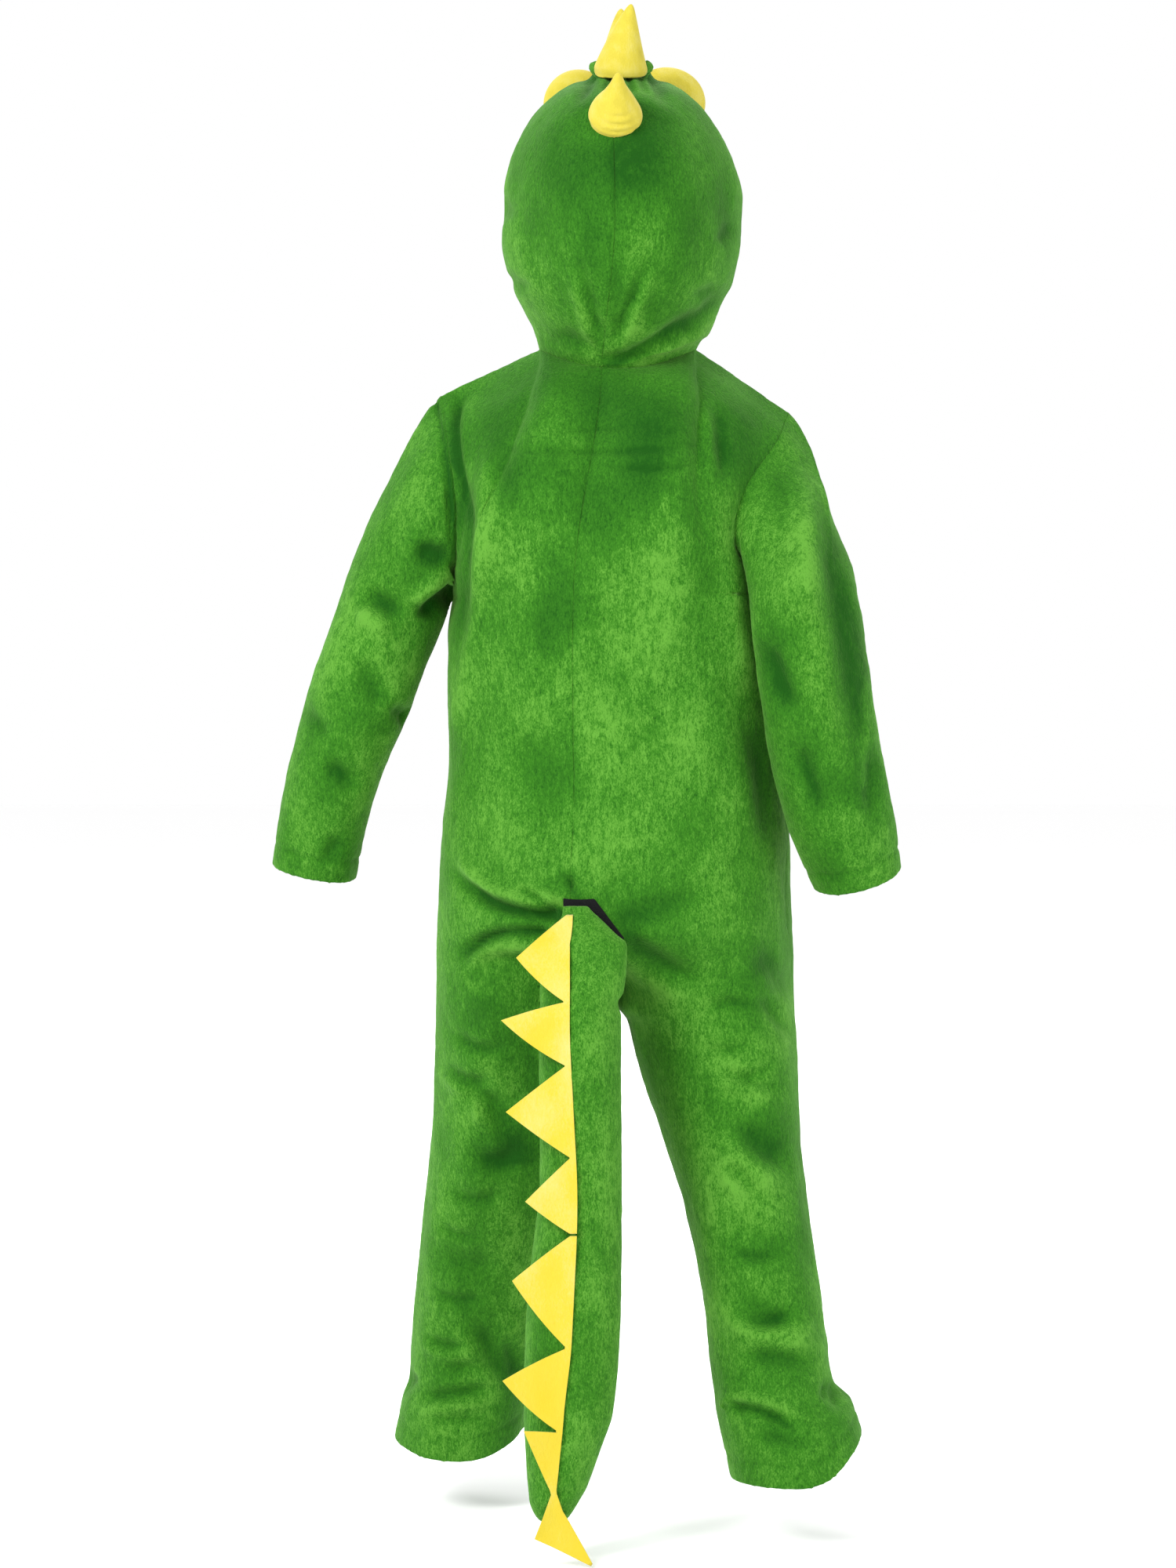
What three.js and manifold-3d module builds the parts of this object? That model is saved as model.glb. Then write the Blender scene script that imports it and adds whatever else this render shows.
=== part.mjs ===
// Crocodile costume: a plush all-in-one with hood, stuffed cones, padded eyes, stuffed tail and felt plates.
// Millimetres, +Z up. The costume's front faces -Y and its left side is +X.
// The origin is the middle of the neck opening. The costume keeps the hollow form in which it is worn.
// Every panel is a wall that follows one smooth surface, faceted on a grid.

import * as THREE from "three";
import Module from "manifold-3d";
import { mergeVertices } from "three/addons/utils/BufferGeometryUtils.js";

// Cloth and seams
const PLUSH = 2.5;
const TAPE = 1.5;
const FELT = 2.0;
const SEAM = 0.15; // each edge stands back this far, so that sewn edges are 0.3 mm apart
const SEAT_GAP = 0.3; // between a piece and the panel that it lies on

// Grid of a body panel
const NECK_CELLS = 4;
const SHOULDER_CELLS = 3;
const ARMHOLE_CELLS = 8;
const HOOD_CELLS = 11;
const HEAD_CELLS = 5; // the sleeve head, from the armhole to the first free ring

// Heights
const UNDERARM = -208;
const SEAT_FOLD = -500; // from here the seat turns in to the crotch
const CROTCH = -572;
const TORSO_ROWS = [-245, -285, -325, -365, -405, -445, -478, -500, -522, -545, CROTCH];
const LEG_ROWS = [-598, -640, -690, -740, -790, -840, -885, -915, -940, -960];
const HEM_START = -885; // below this row the rows spread to meet the sloping hem
const HEM_ROW = -960;
const SLEEVE_ROWS = [-217, -250, -286, -320, -350, -380, -405, -432, -458];

// How square a body section is: 1 is an ellipse, less is boxier.
const BOXINESS = 0.86;
const QUARTER = Math.PI / 2;
const DEGREES = Math.PI / 180;

// Neck opening: half sizes, and its height at the sides, centre back and centre front
const NECK = { x: -2, half: 70, deep: 60, sides: 9, back: -9, front: -20, turn: 12 };

// Torso below the underarm: half-widths to the costume's left and right, depths behind and in front of the mid plane,
// and the angle by which the centre seams are turned towards the left at the back.
const TORSO = [
  { z: -208, left: 143, right: 149, back: 112, front: 100, turn: 12 },
  { z: -250, left: 149, right: 151, back: 110, front: 106, turn: 12 },
  { z: -350, left: 149, right: 152, back: 107, front: 112, turn: 12 },
  { z: -430, left: 155, right: 155, back: 115, front: 113, turn: 12 },
  { z: -490, left: 157, right: 157, back: 121, front: 108, turn: 12 },
  { z: -530, left: 158, right: 159, back: 118, front: 102, turn: 6 },
  { z: -572, left: 159, right: 160, back: 110, front: 96, turn: 0 },
];

// Legs: distances of the inseam side and the outer side from the mid plane, the leg's middle in depth, its half-depth
const LEG = {
  left: [
    { z: -500, inner: 0, outer: 158, y: 4, deep: 104 },
    { z: -572, inner: 0, outer: 159, y: 4, deep: 90 },
    { z: -600, inner: 9, outer: 160, y: 3, deep: 85 },
    { z: -650, inner: 17, outer: 162, y: -3, deep: 81 },
    { z: -700, inner: 27, outer: 166, y: -10, deep: 78 },
    { z: -760, inner: 42, outer: 173, y: -18, deep: 74 },
    { z: -820, inner: 56, outer: 180, y: -28, deep: 70 },
    { z: -870, inner: 66, outer: 185, y: -36, deep: 67 },
    { z: -915, inner: 74, outer: 189, y: -43, deep: 65 },
    { z: -932, inner: 77, outer: 195, y: -46, deep: 68 },
    { z: -960, inner: 81, outer: 201, y: -50, deep: 69 },
  ],
  right: [
    { z: -500, inner: 0, outer: 157, y: 4, deep: 104 },
    { z: -572, inner: 0, outer: 160, y: 4, deep: 90 },
    { z: -588, inner: 11, outer: 161, y: 7, deep: 87 },
    { z: -620, inner: 20, outer: 163, y: 14, deep: 83 },
    { z: -690, inner: 42, outer: 164, y: 30, deep: 77 },
    { z: -756, inner: 61, outer: 170, y: 46, deep: 72 },
    { z: -823, inner: 75, outer: 180, y: 62, deep: 68 },
    { z: -890, inner: 84, outer: 188, y: 77, deep: 65 },
    { z: -908, inner: 87, outer: 192, y: 81, deep: 65 },
    { z: -925, inner: 91, outer: 206, y: 85, deep: 68 },
    { z: -960, inner: 100, outer: 214, y: 90, deep: 70 },
  ],
};

// Height of each trouser hem at the outer side, inseam, back and front
const HEM = {
  left: { outer: -973, inner: -963, back: -984, front: -958 },
  right: { outer: -943, inner: -979, back: -977, front: -950 },
};

// Shoulder point, armhole edge on the back and on the front, and underarm point, from the top down
const ARMHOLE = {
  left: {
    back: [[156, -2, -32], [150, 30, -72], [142, 47, -122], [141, 38, -172], [141, -21, -208]],
    front: [[156, -2, -32], [151, -38, -70], [143, -62, -120], [142, -56, -172], [141, -21, -208]],
  },
  right: {
    back: [[-154, 4, -47], [-142, 42, -74], [-113, 74, -116], [-106, 80, -168], [-146, 22, -208]],
    front: [[-154, 4, -47], [-150, -28, -80], [-146, -45, -125], [-146, -34, -172], [-146, 22, -208]],
  },
};

// Sleeves: middle of the ring at each height, half-width across, half-depth, how far its long axis is turned, and how
// far the cloth is rolled round the arm
const SLEEVE = {
  left: [
    { z: -217, x: 198, y: -4, wide: 48, deep: 43, turn: 0, roll: 0 },
    { z: -293, x: 225, y: 0, wide: 46, deep: 42, turn: 0, roll: 0 },
    { z: -359, x: 248, y: -4, wide: 41, deep: 39, turn: 0, roll: 0 },
    { z: -412, x: 262, y: -12, wide: 39.5, deep: 37, turn: 0, roll: 0 },
    { z: -458, x: 271, y: -20, wide: 38, deep: 35, turn: 0, roll: 0 },
  ],
  right: [
    { z: -217, x: -165, y: 87, wide: 50, deep: 38, turn: -30, roll: 42 },
    { z: -286, x: -174, y: 89, wide: 50, deep: 40, turn: -20, roll: 28 },
    { z: -348, x: -184, y: 85, wide: 50, deep: 40, turn: -12, roll: 18 },
    { z: -404, x: -198, y: 75, wide: 48, deep: 39, turn: -5, roll: 10 },
    { z: -458, x: -213, y: 62, wide: 40, deep: 36, turn: 0, roll: 5 },
  ],
};

// Hood from the neckline to the crown: height, middle, half-width, depths behind and in front, and the angle in front
// of the ear at which the face opening's edge lies (90 is the centre front, where the halves meet).
const HOOD = [
  { z: 0, x: NECK.x, half: NECK.half, back: NECK.deep, front: NECK.deep, edge: 90 },
  { z: 20, x: -4, half: 76, back: 80, front: 74, edge: 64 },
  { z: 42, x: -5, half: 86, back: 98, front: 86, edge: 51 },
  { z: 70, x: -6, half: 97.5, back: 111, front: 95, edge: 45 },
  { z: 105, x: -6, half: 104, back: 118, front: 100, edge: 43 },
  { z: 140, x: -6, half: 105, back: 120, front: 102, edge: 46 },
  { z: 172, x: -5, half: 99, back: 114, front: 100, edge: 55 },
  { z: 200, x: -4, half: 87, back: 102, front: 94, edge: 71 },
  { z: 222, x: -4, half: 72, back: 84, front: 80, edge: 90 },
  { z: 239, x: -4, half: 51, back: 59, front: 58, edge: 90 },
  { z: 249, x: -4, half: 27, back: 32, front: 31, edge: 90 },
  { z: 252, x: -4, half: 0, back: 0, front: 0, edge: 90 },
].map((row, i, all) => ({ ...row, v: i / (all.length - 1) }));
const HOOD_TURN = { neck: 12, crown: 4 };
// The crown seam is pulled up into a low ridge under the cones.
const CROWN_RIDGE = { x: -4, y: 10, high: 7, wide: 13, long: 30 };

// Cones: middle of the base, direction of the axis as elevation from straight back, lean to the left,
// base radius and length
const CONES = [
  { name: "cone_rear", base: [1, 90, 205], elevation: 42, lean: -6, radius: 25, length: 53 },
  { name: "cone_top", base: [-4, 15, 252], elevation: 75, lean: -4, radius: 24, length: 62 },
  { name: "cone_front", base: [-4, -38, 247], elevation: 104, lean: 3, radius: 22, length: 62 },
];
const CONE_SINK = 16; // how far a cone's blank reaches under the hood before it is cut to the hood's curve

// Eyes: middle and half sizes of each padded dome
const EYES = [
  { name: "eye_left", middle: [35, -50, 229], half: [28, 21, 32] },
  { name: "eye_right", middle: [-50, -50, 229], half: [31, 21, 32] },
];

// Tail: middle, half-width, half-depth, and the angle of the ridge seam towards the left
const TAIL = [
  { z: -475, x: 26, y: 130, wide: 19, deep: 6, ridge: 30 },
  { z: -484, x: 26, y: 132, wide: 23, deep: 10, ridge: 30 },
  { z: -507, x: 29, y: 139, wide: 34, deep: 19, ridge: 22 },
  { z: -540, x: 30, y: 147, wide: 34.5, deep: 28, ridge: 18 },
  { z: -574, x: 30.7, y: 151, wide: 34.5, deep: 32, ridge: 17.5 },
  { z: -640, x: 31, y: 154, wide: 34, deep: 34, ridge: 12 },
  { z: -707, x: 31.2, y: 158, wide: 33.8, deep: 34, ridge: 6 },
  { z: -774, x: 34, y: 164, wide: 37, deep: 35, ridge: 3 },
  { z: -839, x: 37.2, y: 171, wide: 39.5, deep: 36, ridge: 3 },
  { z: -904, x: 41, y: 179, wide: 37, deep: 34, ridge: 8 },
  { z: -937, x: 45.5, y: 183, wide: 31, deep: 29, ridge: 7 },
  { z: -969, x: 50.3, y: 187, wide: 24.4, deep: 23, ridge: 5.5 },
  { z: -986, x: 54, y: 189, wide: 18, deep: 17, ridge: 3 },
  { z: -996, x: 55, y: 190, wide: 11, deep: 10, ridge: 0 },
  { z: -1000, x: 55.5, y: 190, wide: 5, deep: 5, ridge: 0 },
];
const TAIL_ARC_CELLS = 8;
// Rows and columns of the back panels against which the tail's top is flattened, and how deep that block reaches
const SEAT_SLAB = { firstRow: ARMHOLE_CELLS + 5, rows: 7, columns: 6, inside: -20 };

// Felt plates: heights of the base's two ends on the ridge, and the tip, as distance from the mid plane and height
const PLATES_UPPER = [
  { top: -478, bottom: -549, tipX: 82.5, tipZ: -514 },
  { top: -551, bottom: -606, tipX: 97, tipZ: -569 },
  { top: -607, bottom: -683, tipX: 92, tipZ: -647 },
  { top: -684, bottom: -748, tipX: 76.5, tipZ: -723 },
];
const PLATES_LOWER = [
  { top: -752, bottom: -843.5, tipX: 87, tipZ: -791 },
  { top: -845.5, bottom: -914, tipX: 94.5, tipZ: -873.5 },
  { top: -916, bottom: -966, tipX: 78, tipZ: -916 },
];
// The last plate hangs from the tail's tip: its two edges from the top down
const LAST_PLATE = [
  [[51, -971], [56, -972]],
  [[46, -984], [61, -990]],
  [[41, -993], [65.7, -1007]],
  [[21, -1029], [22, -1031]],
];
const PLATE_BAND = 3.5; // width of the felt that joins the plates along the ridge
const PLATE_LIFT = 1.1; // felt's distance from the ridge
const PLATE_RISE = 0.12; // the plates stand off a little more towards their tips

// Black tape on the seat: corners of its upper edge seen from behind, and its lower edge
const SEAT_TAPE = { left: 47, right: -7, top: -473, bottom: -499, cells: 6, slopeFrom: 9, slopeDrop: 17 };
// Front tapes: how much of the first cell they cover, and the rows between which they run
const FRONT_TAPE = { cover: 1, firstRow: 1, lastRow: ARMHOLE_CELLS + 6, slack: 2 };

const COLOURS = { plush: 0x3f9a2c, felt: 0xf7e63c, cone: 0xf5e23a, tape: 0x151517 };

const wasm = await Module();
wasm.setup();

// Smoothly rising step from 0 at a to 1 at b.
function step(a, b, value) {
  const t = Math.min(1, Math.max(0, (value - a) / (b - a)));
  return t * t * (3 - 2 * t);
}

// A sine or cosine pushed outwards, so that an ellipse becomes a rounded box.
const boxy = (value) => Math.sign(value) * Math.abs(value) ** BOXINESS;

// One column of a table as a smooth curve that never overshoots its rows. The rows run down in "by".
function column(table, name, value, by = "z") {
  const s = table.map((row) => row[by]);
  const f = table.map((row) => row[name]);
  const falling = s[s.length - 1] < s[0] ? -1 : 1;
  const x = Math.min(s[s.length - 1] * falling, Math.max(s[0] * falling, value * falling));
  let i = 0;
  while (i < s.length - 2 && x > s[i + 1] * falling) i++;
  const gap = (k) => (s[k + 1] - s[k]) * falling;
  const slope = (k) => (f[k + 1] - f[k]) / gap(k);
  const tangent = (k) => {
    if (k === 0) return slope(0);
    if (k === s.length - 1) return slope(k - 1);
    const [a, b] = [slope(k - 1), slope(k)];
    return a * b <= 0 ? 0 : (2 * a * b) / (a + b);
  };
  const h = gap(i);
  const t = (x - s[i] * falling) / h;
  const [ta, tb] = [tangent(i) * h, tangent(i + 1) * h];
  return hermite(f[i], ta, f[i + 1], tb, t);
}

// Cubic from a to b with tangents ta and tb.
function hermite(a, ta, b, tb, t) {
  const t2 = t * t;
  const t3 = t2 * t;
  return (2 * t3 - 3 * t2 + 1) * a + (t3 - 2 * t2 + t) * ta + (3 * t2 - 2 * t3) * b + (t3 - t2) * tb;
}

function hermitePoint(a, ta, b, tb, t) {
  return new THREE.Vector3(
    hermite(a.x, ta.x, b.x, tb.x, t),
    hermite(a.y, ta.y, b.y, tb.y, t),
    hermite(a.z, ta.z, b.z, tb.z, t),
  );
}

// A point on the smooth curve through a short list of points, at the share t of the list.
function through(list, t) {
  const points = list.map((p) => new THREE.Vector3(...p));
  return new THREE.CatmullRomCurve3(points, false, "catmullrom", 0.5).getPoint(t);
}

const sideName = (side) => (side > 0 ? "left" : "right");

// Neckline at an angle measured from straight back towards the left.
function neckPoint(angle) {
  const c2 = Math.cos(angle) ** 2;
  const end = Math.cos(angle) > 0 ? NECK.back : NECK.front;
  return new THREE.Vector3(
    NECK.x + NECK.half * Math.sin(angle),
    NECK.deep * Math.cos(angle),
    NECK.sides + (end - NECK.sides) * c2,
  );
}

// Angle of a share u of the way from the centre-back seam, round the side, to an edge in front of the ear.
function roundAngle(side, u, turn, edge) {
  const ear = side * QUARTER;
  if (u <= 0.5) return turn + (ear - turn) * (u / 0.5);
  return ear + (side * edge + turn) * ((u - 0.5) / 0.5);
}

// Torso section: u runs from the centre seam to the side seam.
function torsoPoint(side, face, u, z) {
  const turn = column(TORSO, "turn", z) * DEGREES;
  const angle = face > 0 ? turn + side * u * QUARTER : Math.PI + turn - side * u * QUARTER;
  const width = column(TORSO, Math.sin(angle) > 0 ? "left" : "right", z);
  const depth = column(TORSO, Math.cos(angle) > 0 ? "back" : "front", z);
  return new THREE.Vector3(width * boxy(Math.sin(angle)), depth * boxy(Math.cos(angle)), z);
}

// Leg section: u runs from the inseam to the outer side seam.
function legPoint(side, face, u, z) {
  const table = LEG[sideName(side)];
  const angle = (2 * u - 1) * QUARTER;
  const inner = column(table, "inner", z);
  const outer = column(table, "outer", z);
  const across = (inner + outer) / 2 + ((outer - inner) / 2) * boxy(Math.sin(angle));
  const depth = column(table, "deep", z) * boxy(Math.max(0, Math.cos(angle)));
  return new THREE.Vector3(side * across, column(table, "y", z) + face * depth, z);
}

// Height of the trouser hem at u.
function hemHeight(side, face, u) {
  const hem = HEM[sideName(side)];
  const s = Math.sin((2 * u - 1) * QUARTER);
  const middle = face > 0 ? hem.back : hem.front;
  return middle + ((s > 0 ? hem.outer : hem.inner) - middle) * s * s;
}

// Body below the underarm: the torso section turns into the leg's between the seat fold and the crotch.
function lowerPoint(side, face, u, z) {
  const leg = 1 - step(CROTCH, SEAT_FOLD, z);
  const point = torsoPoint(side, face, u, Math.max(z, CROTCH)).lerp(legPoint(side, face, u, z), leg);
  const spread = Math.min(0, (z - HEM_START) / (HEM_START - HEM_ROW)) * -1;
  point.z = z + spread * (hemHeight(side, face, u) - HEM_ROW);
  return point;
}

// Top edge of a body panel: the neckline, then the shoulder seam.
function topPoint(side, face, u) {
  const neckShare = NECK_CELLS / (NECK_CELLS + SHOULDER_CELLS);
  const shoulder = new THREE.Vector3(...ARMHOLE[sideName(side)].back[0]);
  const turn = NECK.turn * DEGREES;
  if (u <= neckShare) {
    const start = face > 0 ? turn : Math.PI + turn;
    const ear = face > 0 || side > 0 ? side * QUARTER : 3 * QUARTER;
    return neckPoint(start + (ear - start) * (u / neckShare));
  }
  return neckPoint(side * QUARTER).lerp(shoulder, (u - neckShare) / (1 - neckShare));
}

// Body above the underarm: t runs from the top edge to the underarm, and the armhole is cut out of its outer edge.
function upperPoint(side, face, u, t) {
  const centre = Math.cos(u * QUARTER);
  const start = new THREE.Vector3(0, face * (130 + 170 * Math.sin(u * Math.PI)), -60 - 80 * centre);
  const end = new THREE.Vector3(0, 0, -185);
  const surface = (v) => hermitePoint(topPoint(side, face, v), start, torsoPoint(side, face, v, UNDERARM), end, t);
  const armhole = through(ARMHOLE[sideName(side)][face > 0 ? "back" : "front"], t);
  const edge = surface(1);
  const point = surface(u);
  point.x *= 1 + (armhole.x / edge.x - 1) * Math.sin(u * QUARTER);
  point.y += (armhole.y - edge.y) * u * u;
  point.z += (armhole.z - edge.z) * u * u;
  return point;
}

// A body panel's point in one of its rows.
function panelPoint(side, face, u, row) {
  if (row <= ARMHOLE_CELLS) return upperPoint(side, face, u, row / ARMHOLE_CELLS);
  return lowerPoint(side, face, u, [...TORSO_ROWS, ...LEG_ROWS][row - ARMHOLE_CELLS - 1]);
}

// Middle of an armhole, for its edge normals.
function armholeMiddle(side) {
  const { back, front } = ARMHOLE[sideName(side)];
  return new THREE.Vector3(0, (back[2][1] + front[2][1]) / 2, (back[0][2] + back[4][2]) / 2);
}

// Normal shared by the panel and the sleeve along the armhole seam.
function armholeNormal(side, point) {
  const out = point.clone().sub(armholeMiddle(side)).setX(0).normalize();
  return out.setX(0.5 * side).normalize();
}

// Grid of points and outward normals, from a function of row and column.
// "turned" is -1 where columns and rows run left-handed seen from outside.
function gridOf(rows, columns, closed, turned, pointAt) {
  const points = [];
  for (let r = 0; r <= rows; r++) {
    points.push([]);
    for (let c = 0; c < columns + (closed ? 0 : 1); c++) points[r].push(pointAt(r, c));
  }
  const wide = points[0].length;
  const near = (c, by) => (closed ? (c + by + wide) % wide : Math.min(wide - 1, Math.max(0, c + by)));
  const normals = points.map((line, r) =>
    line.map((_, c) => {
      const across = points[r][near(c, 1)].clone().sub(points[r][near(c, -1)]);
      const down = points[Math.min(rows, r + 1)][c].clone().sub(points[Math.max(0, r - 1)][c]);
      return across.cross(down).multiplyScalar(turned).normalize();
    }),
  );
  return { points, normals, closed };
}

// Moves a grid's points along their normals.
function moved(grid, distance) {
  return grid.points.map((line, r) =>
    line.map((p, c) => p.clone().addScaledVector(grid.normals[r][c], distance)),
  );
}

// Closed skin between two sheets of points on the same grid.
function between(outer, inner, closed) {
  const sheets = [outer, inner];
  const wide = outer[0].length;
  const rows = outer.length - 1;
  const columns = closed ? wide : wide - 1;
  const triangles = [];
  const quad = (a, b, c, d) => triangles.push([a, b, c], [a, c, d]);
  const at = (sheet, r, c) => sheets[sheet][r][c % wide];
  for (let r = 0; r < rows; r++)
    for (let c = 0; c < columns; c++) {
      quad(at(0, r, c), at(0, r + 1, c), at(0, r + 1, c + 1), at(0, r, c + 1));
      quad(at(1, r, c), at(1, r, c + 1), at(1, r + 1, c + 1), at(1, r + 1, c));
    }
  for (let c = 0; c < columns; c++) {
    quad(at(0, 0, c), at(0, 0, c + 1), at(1, 0, c + 1), at(1, 0, c));
    quad(at(0, rows, c), at(1, rows, c), at(1, rows, c + 1), at(0, rows, c + 1));
  }
  for (let r = 0; r < rows && !closed; r++) {
    quad(at(0, r, 0), at(1, r, 0), at(1, r + 1, 0), at(0, r + 1, 0));
    quad(at(0, r, columns), at(0, r + 1, columns), at(1, r + 1, columns), at(1, r, columns));
  }
  return skin(triangles);
}

// Geometry of loose triangles, turned to face out, without those that have no area.
function skin(triangles) {
  const kept = triangles.filter(
    ([a, b, c]) => a.distanceTo(b) > 1e-3 && b.distanceTo(c) > 1e-3 && c.distanceTo(a) > 1e-3,
  );
  const volume = kept.reduce((sum, [a, b, c]) => sum + a.dot(b.clone().cross(c)), 0);
  const order = volume > 0 ? [0, 1, 2] : [0, 2, 1];
  const numbers = kept.flatMap((t) => order.flatMap((k) => t[k].toArray()));
  const geometry = new THREE.BufferGeometry();
  geometry.setAttribute("position", new THREE.Float32BufferAttribute(numbers, 3));
  return geometry;
}

// Wall of cloth whose outer face is the grid, from "from" to "to" millimetres under it.
const wall = (grid, from, to) => between(moved(grid, -from), moved(grid, -to), grid.closed);

// Body panel: its edges stand back from the seams, and its edge normals lie in the seams' planes.
function panelGrid(side, face) {
  const columns = NECK_CELLS + SHOULDER_CELLS;
  const crotchRow = ARMHOLE_CELLS + TORSO_ROWS.length;
  const rows = crotchRow + LEG_ROWS.length;
  const grid = gridOf(rows, columns, false, side * face, (r, c) => panelPoint(side, face, c / columns, r));
  grid.points.forEach((line, r) => {
    const normals = grid.normals[r];
    if (r <= crotchRow) {
      line[0].x += side * SEAM;
      normals[0].setX(0).normalize();
    }
    if (r >= crotchRow) {
      line[0].y += face * SEAM;
      normals[0].setY(0).normalize();
    }
    if (r === crotchRow) normals[0].set(0, 0, -1);
    if (r >= ARMHOLE_CELLS) line[columns].y += face * SEAM;
    if (r > ARMHOLE_CELLS) normals[columns].setY(0).normalize();
    if (r <= ARMHOLE_CELLS) {
      normals[columns].copy(armholeNormal(side, line[columns]));
      line[columns].x -= side * SEAM;
    }
  });
  grid.points[0].forEach((point, c) => {
    if (c <= NECK_CELLS) {
      grid.normals[0][c].set(point.x - NECK.x, point.y, 0).normalize();
      point.z -= SEAM;
    }
    if (c >= NECK_CELLS) point.y += face * SEAM;
    if (c > NECK_CELLS && c < columns) grid.normals[0][c].set(0.35 * side, 0, 0.94).normalize();
  });
  return grid;
}

// Free ring of a sleeve at a height: an ellipse square to the sleeve's run, with its long axis turned.
function sleeveRing(side, z, share) {
  const table = SLEEVE[sideName(side)];
  const angle = share * 2 * Math.PI + column(table, "roll", z) * DEGREES;
  const middle = (h) => new THREE.Vector3(column(table, "x", h), column(table, "y", h), h);
  const reach = 8;
  const run = middle(z - reach).sub(middle(z + reach));
  const end = table[table.length - 1].z;
  if (z - reach < end) run.copy(middle(end)).sub(middle(end + 2 * reach));
  if (z + reach > table[0].z) run.copy(middle(table[0].z - 2 * reach)).sub(middle(table[0].z));
  run.normalize();
  const out = new THREE.Vector3(side, 0, 0).addScaledVector(run, -side * run.x).normalize();
  const back = out.clone().cross(run).multiplyScalar(side);
  const wide = column(table, "wide", z);
  const deep = column(table, "deep", z);
  const own = angle - column(table, "turn", z) * DEGREES;
  const radius = (wide * deep) / Math.hypot(deep * Math.cos(own), wide * Math.sin(own));
  const point = middle(z)
    .addScaledVector(out, radius * Math.cos(angle))
    .addScaledVector(back, radius * Math.sin(angle));
  return { point, run };
}

// Sleeve: a head that spreads from the armhole to the first free ring, then rings down to the cuff.
// Columns run round from the shoulder over the back to the underarm and up the front.
function sleevePoint(side, row, c) {
  const columns = 2 * ARMHOLE_CELLS;
  if (row > HEAD_CELLS) return sleeveRing(side, SLEEVE_ROWS[row - HEAD_CELLS], c / columns).point;
  const { back, front } = ARMHOLE[sideName(side)];
  const start = c <= ARMHOLE_CELLS
    ? through(back, c / ARMHOLE_CELLS)
    : through(front, (columns - c) / ARMHOLE_CELLS);
  const out = start.clone().sub(armholeMiddle(side)).setX(0).normalize();
  const leave = new THREE.Vector3(0.6 * side, 0.5 * out.y, -0.72).normalize();
  const { point, run } = sleeveRing(side, SLEEVE_ROWS[0], c / columns);
  const length = 0.9 * point.distanceTo(start);
  start.x += side * SEAM;
  return hermitePoint(start, leave.multiplyScalar(length), point, run.multiplyScalar(length), row / HEAD_CELLS);
}

function sleeveGrid(side) {
  const rows = HEAD_CELLS + SLEEVE_ROWS.length - 1;
  const grid = gridOf(rows, 2 * ARMHOLE_CELLS, true, -side, (r, c) => sleevePoint(side, r, c));
  grid.points[0].forEach((point, c) => grid.normals[0][c].copy(armholeNormal(side, point)));
  return grid;
}

// Hood: u runs from the centre-back seam round to the face edge, v from the neckline to the crown.
function hoodPoint(side, u, v) {
  const turn = (HOOD_TURN.neck + (HOOD_TURN.crown - HOOD_TURN.neck) * step(0, 0.4, v)) * DEGREES;
  const value = (name) => column(HOOD, name, v, "v");
  const angle = roundAngle(side, u, turn, value("edge") * DEGREES);
  const deep = value(Math.cos(angle) > 0 ? "back" : "front");
  const x = value("x") + value("half") * Math.sin(angle);
  const point = new THREE.Vector3(x, deep * Math.cos(angle), value("z"));
  point.z += neckPoint(angle).z * Math.max(0, 1 - v / 0.3) ** 2;
  const across = (point.x - CROWN_RIDGE.x) / CROWN_RIDGE.wide;
  const along = (point.y - CROWN_RIDGE.y) / CROWN_RIDGE.long;
  point.z += CROWN_RIDGE.high * Math.exp(-(across ** 2) - along ** 2) * step(0.5, 0.8, v);
  return point;
}

function hoodGrid(side) {
  const columns = 2 * NECK_CELLS;
  const grid = gridOf(HOOD_CELLS, columns, false, -side, (r, c) => hoodPoint(side, c / columns, r / HOOD_CELLS));
  const meets = (r) => r === 0 || HOOD[r].edge === 90;
  grid.points.forEach((line, r) => {
    line[0].x += side * SEAM;
    grid.normals[r][0].setX(0).normalize();
    if (meets(r)) {
      line[columns].x += side * SEAM;
      grid.normals[r][columns].setX(0).normalize();
    }
  });
  grid.points[0].forEach((point, c) => {
    point.z += SEAM;
    grid.normals[0][c].set(point.x - NECK.x, point.y, 0).normalize();
  });
  const crown = hoodPoint(side, 0, 1);
  crown.x += side * SEAM;
  grid.points[HOOD_CELLS].forEach((point, c) => {
    point.copy(crown);
    grid.normals[HOOD_CELLS][c].set(0, 0, 1);
  });
  return grid;
}

// Ring-by-ring solid with flat ends.
function loft(rings) {
  const triangles = [];
  const count = rings[0].length;
  for (let r = 0; r < rings.length - 1; r++)
    for (let c = 0; c < count; c++) {
      const [a, b, d, e] = [rings[r][c], rings[r][(c + 1) % count], rings[r + 1][c], rings[r + 1][(c + 1) % count]];
      triangles.push([a, b, e], [a, e, d]);
    }
  const last = rings[rings.length - 1];
  for (let c = 1; c < count - 1; c++) {
    triangles.push([rings[0][0], rings[0][c + 1], rings[0][c]]);
    triangles.push([last[0], last[c], last[c + 1]]);
  }
  return skin(triangles);
}

// The hood as a filled block a little larger than its cloth, which trims what is sewn on to it.
function hoodBlock() {
  const halves = [1, -1].map((side) => moved(hoodGrid(side), SEAT_GAP));
  const rings = halves[0].slice(0, HOOD_CELLS).map((line, r) => [...line, ...[...halves[1][r]].reverse()]);
  const crown = halves[0][HOOD_CELLS][0];
  const top = rings[rings.length - 1].map((p) => p.clone().lerp(crown, 0.98).setZ(crown.z));
  return loft([...rings, top]);
}

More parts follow.
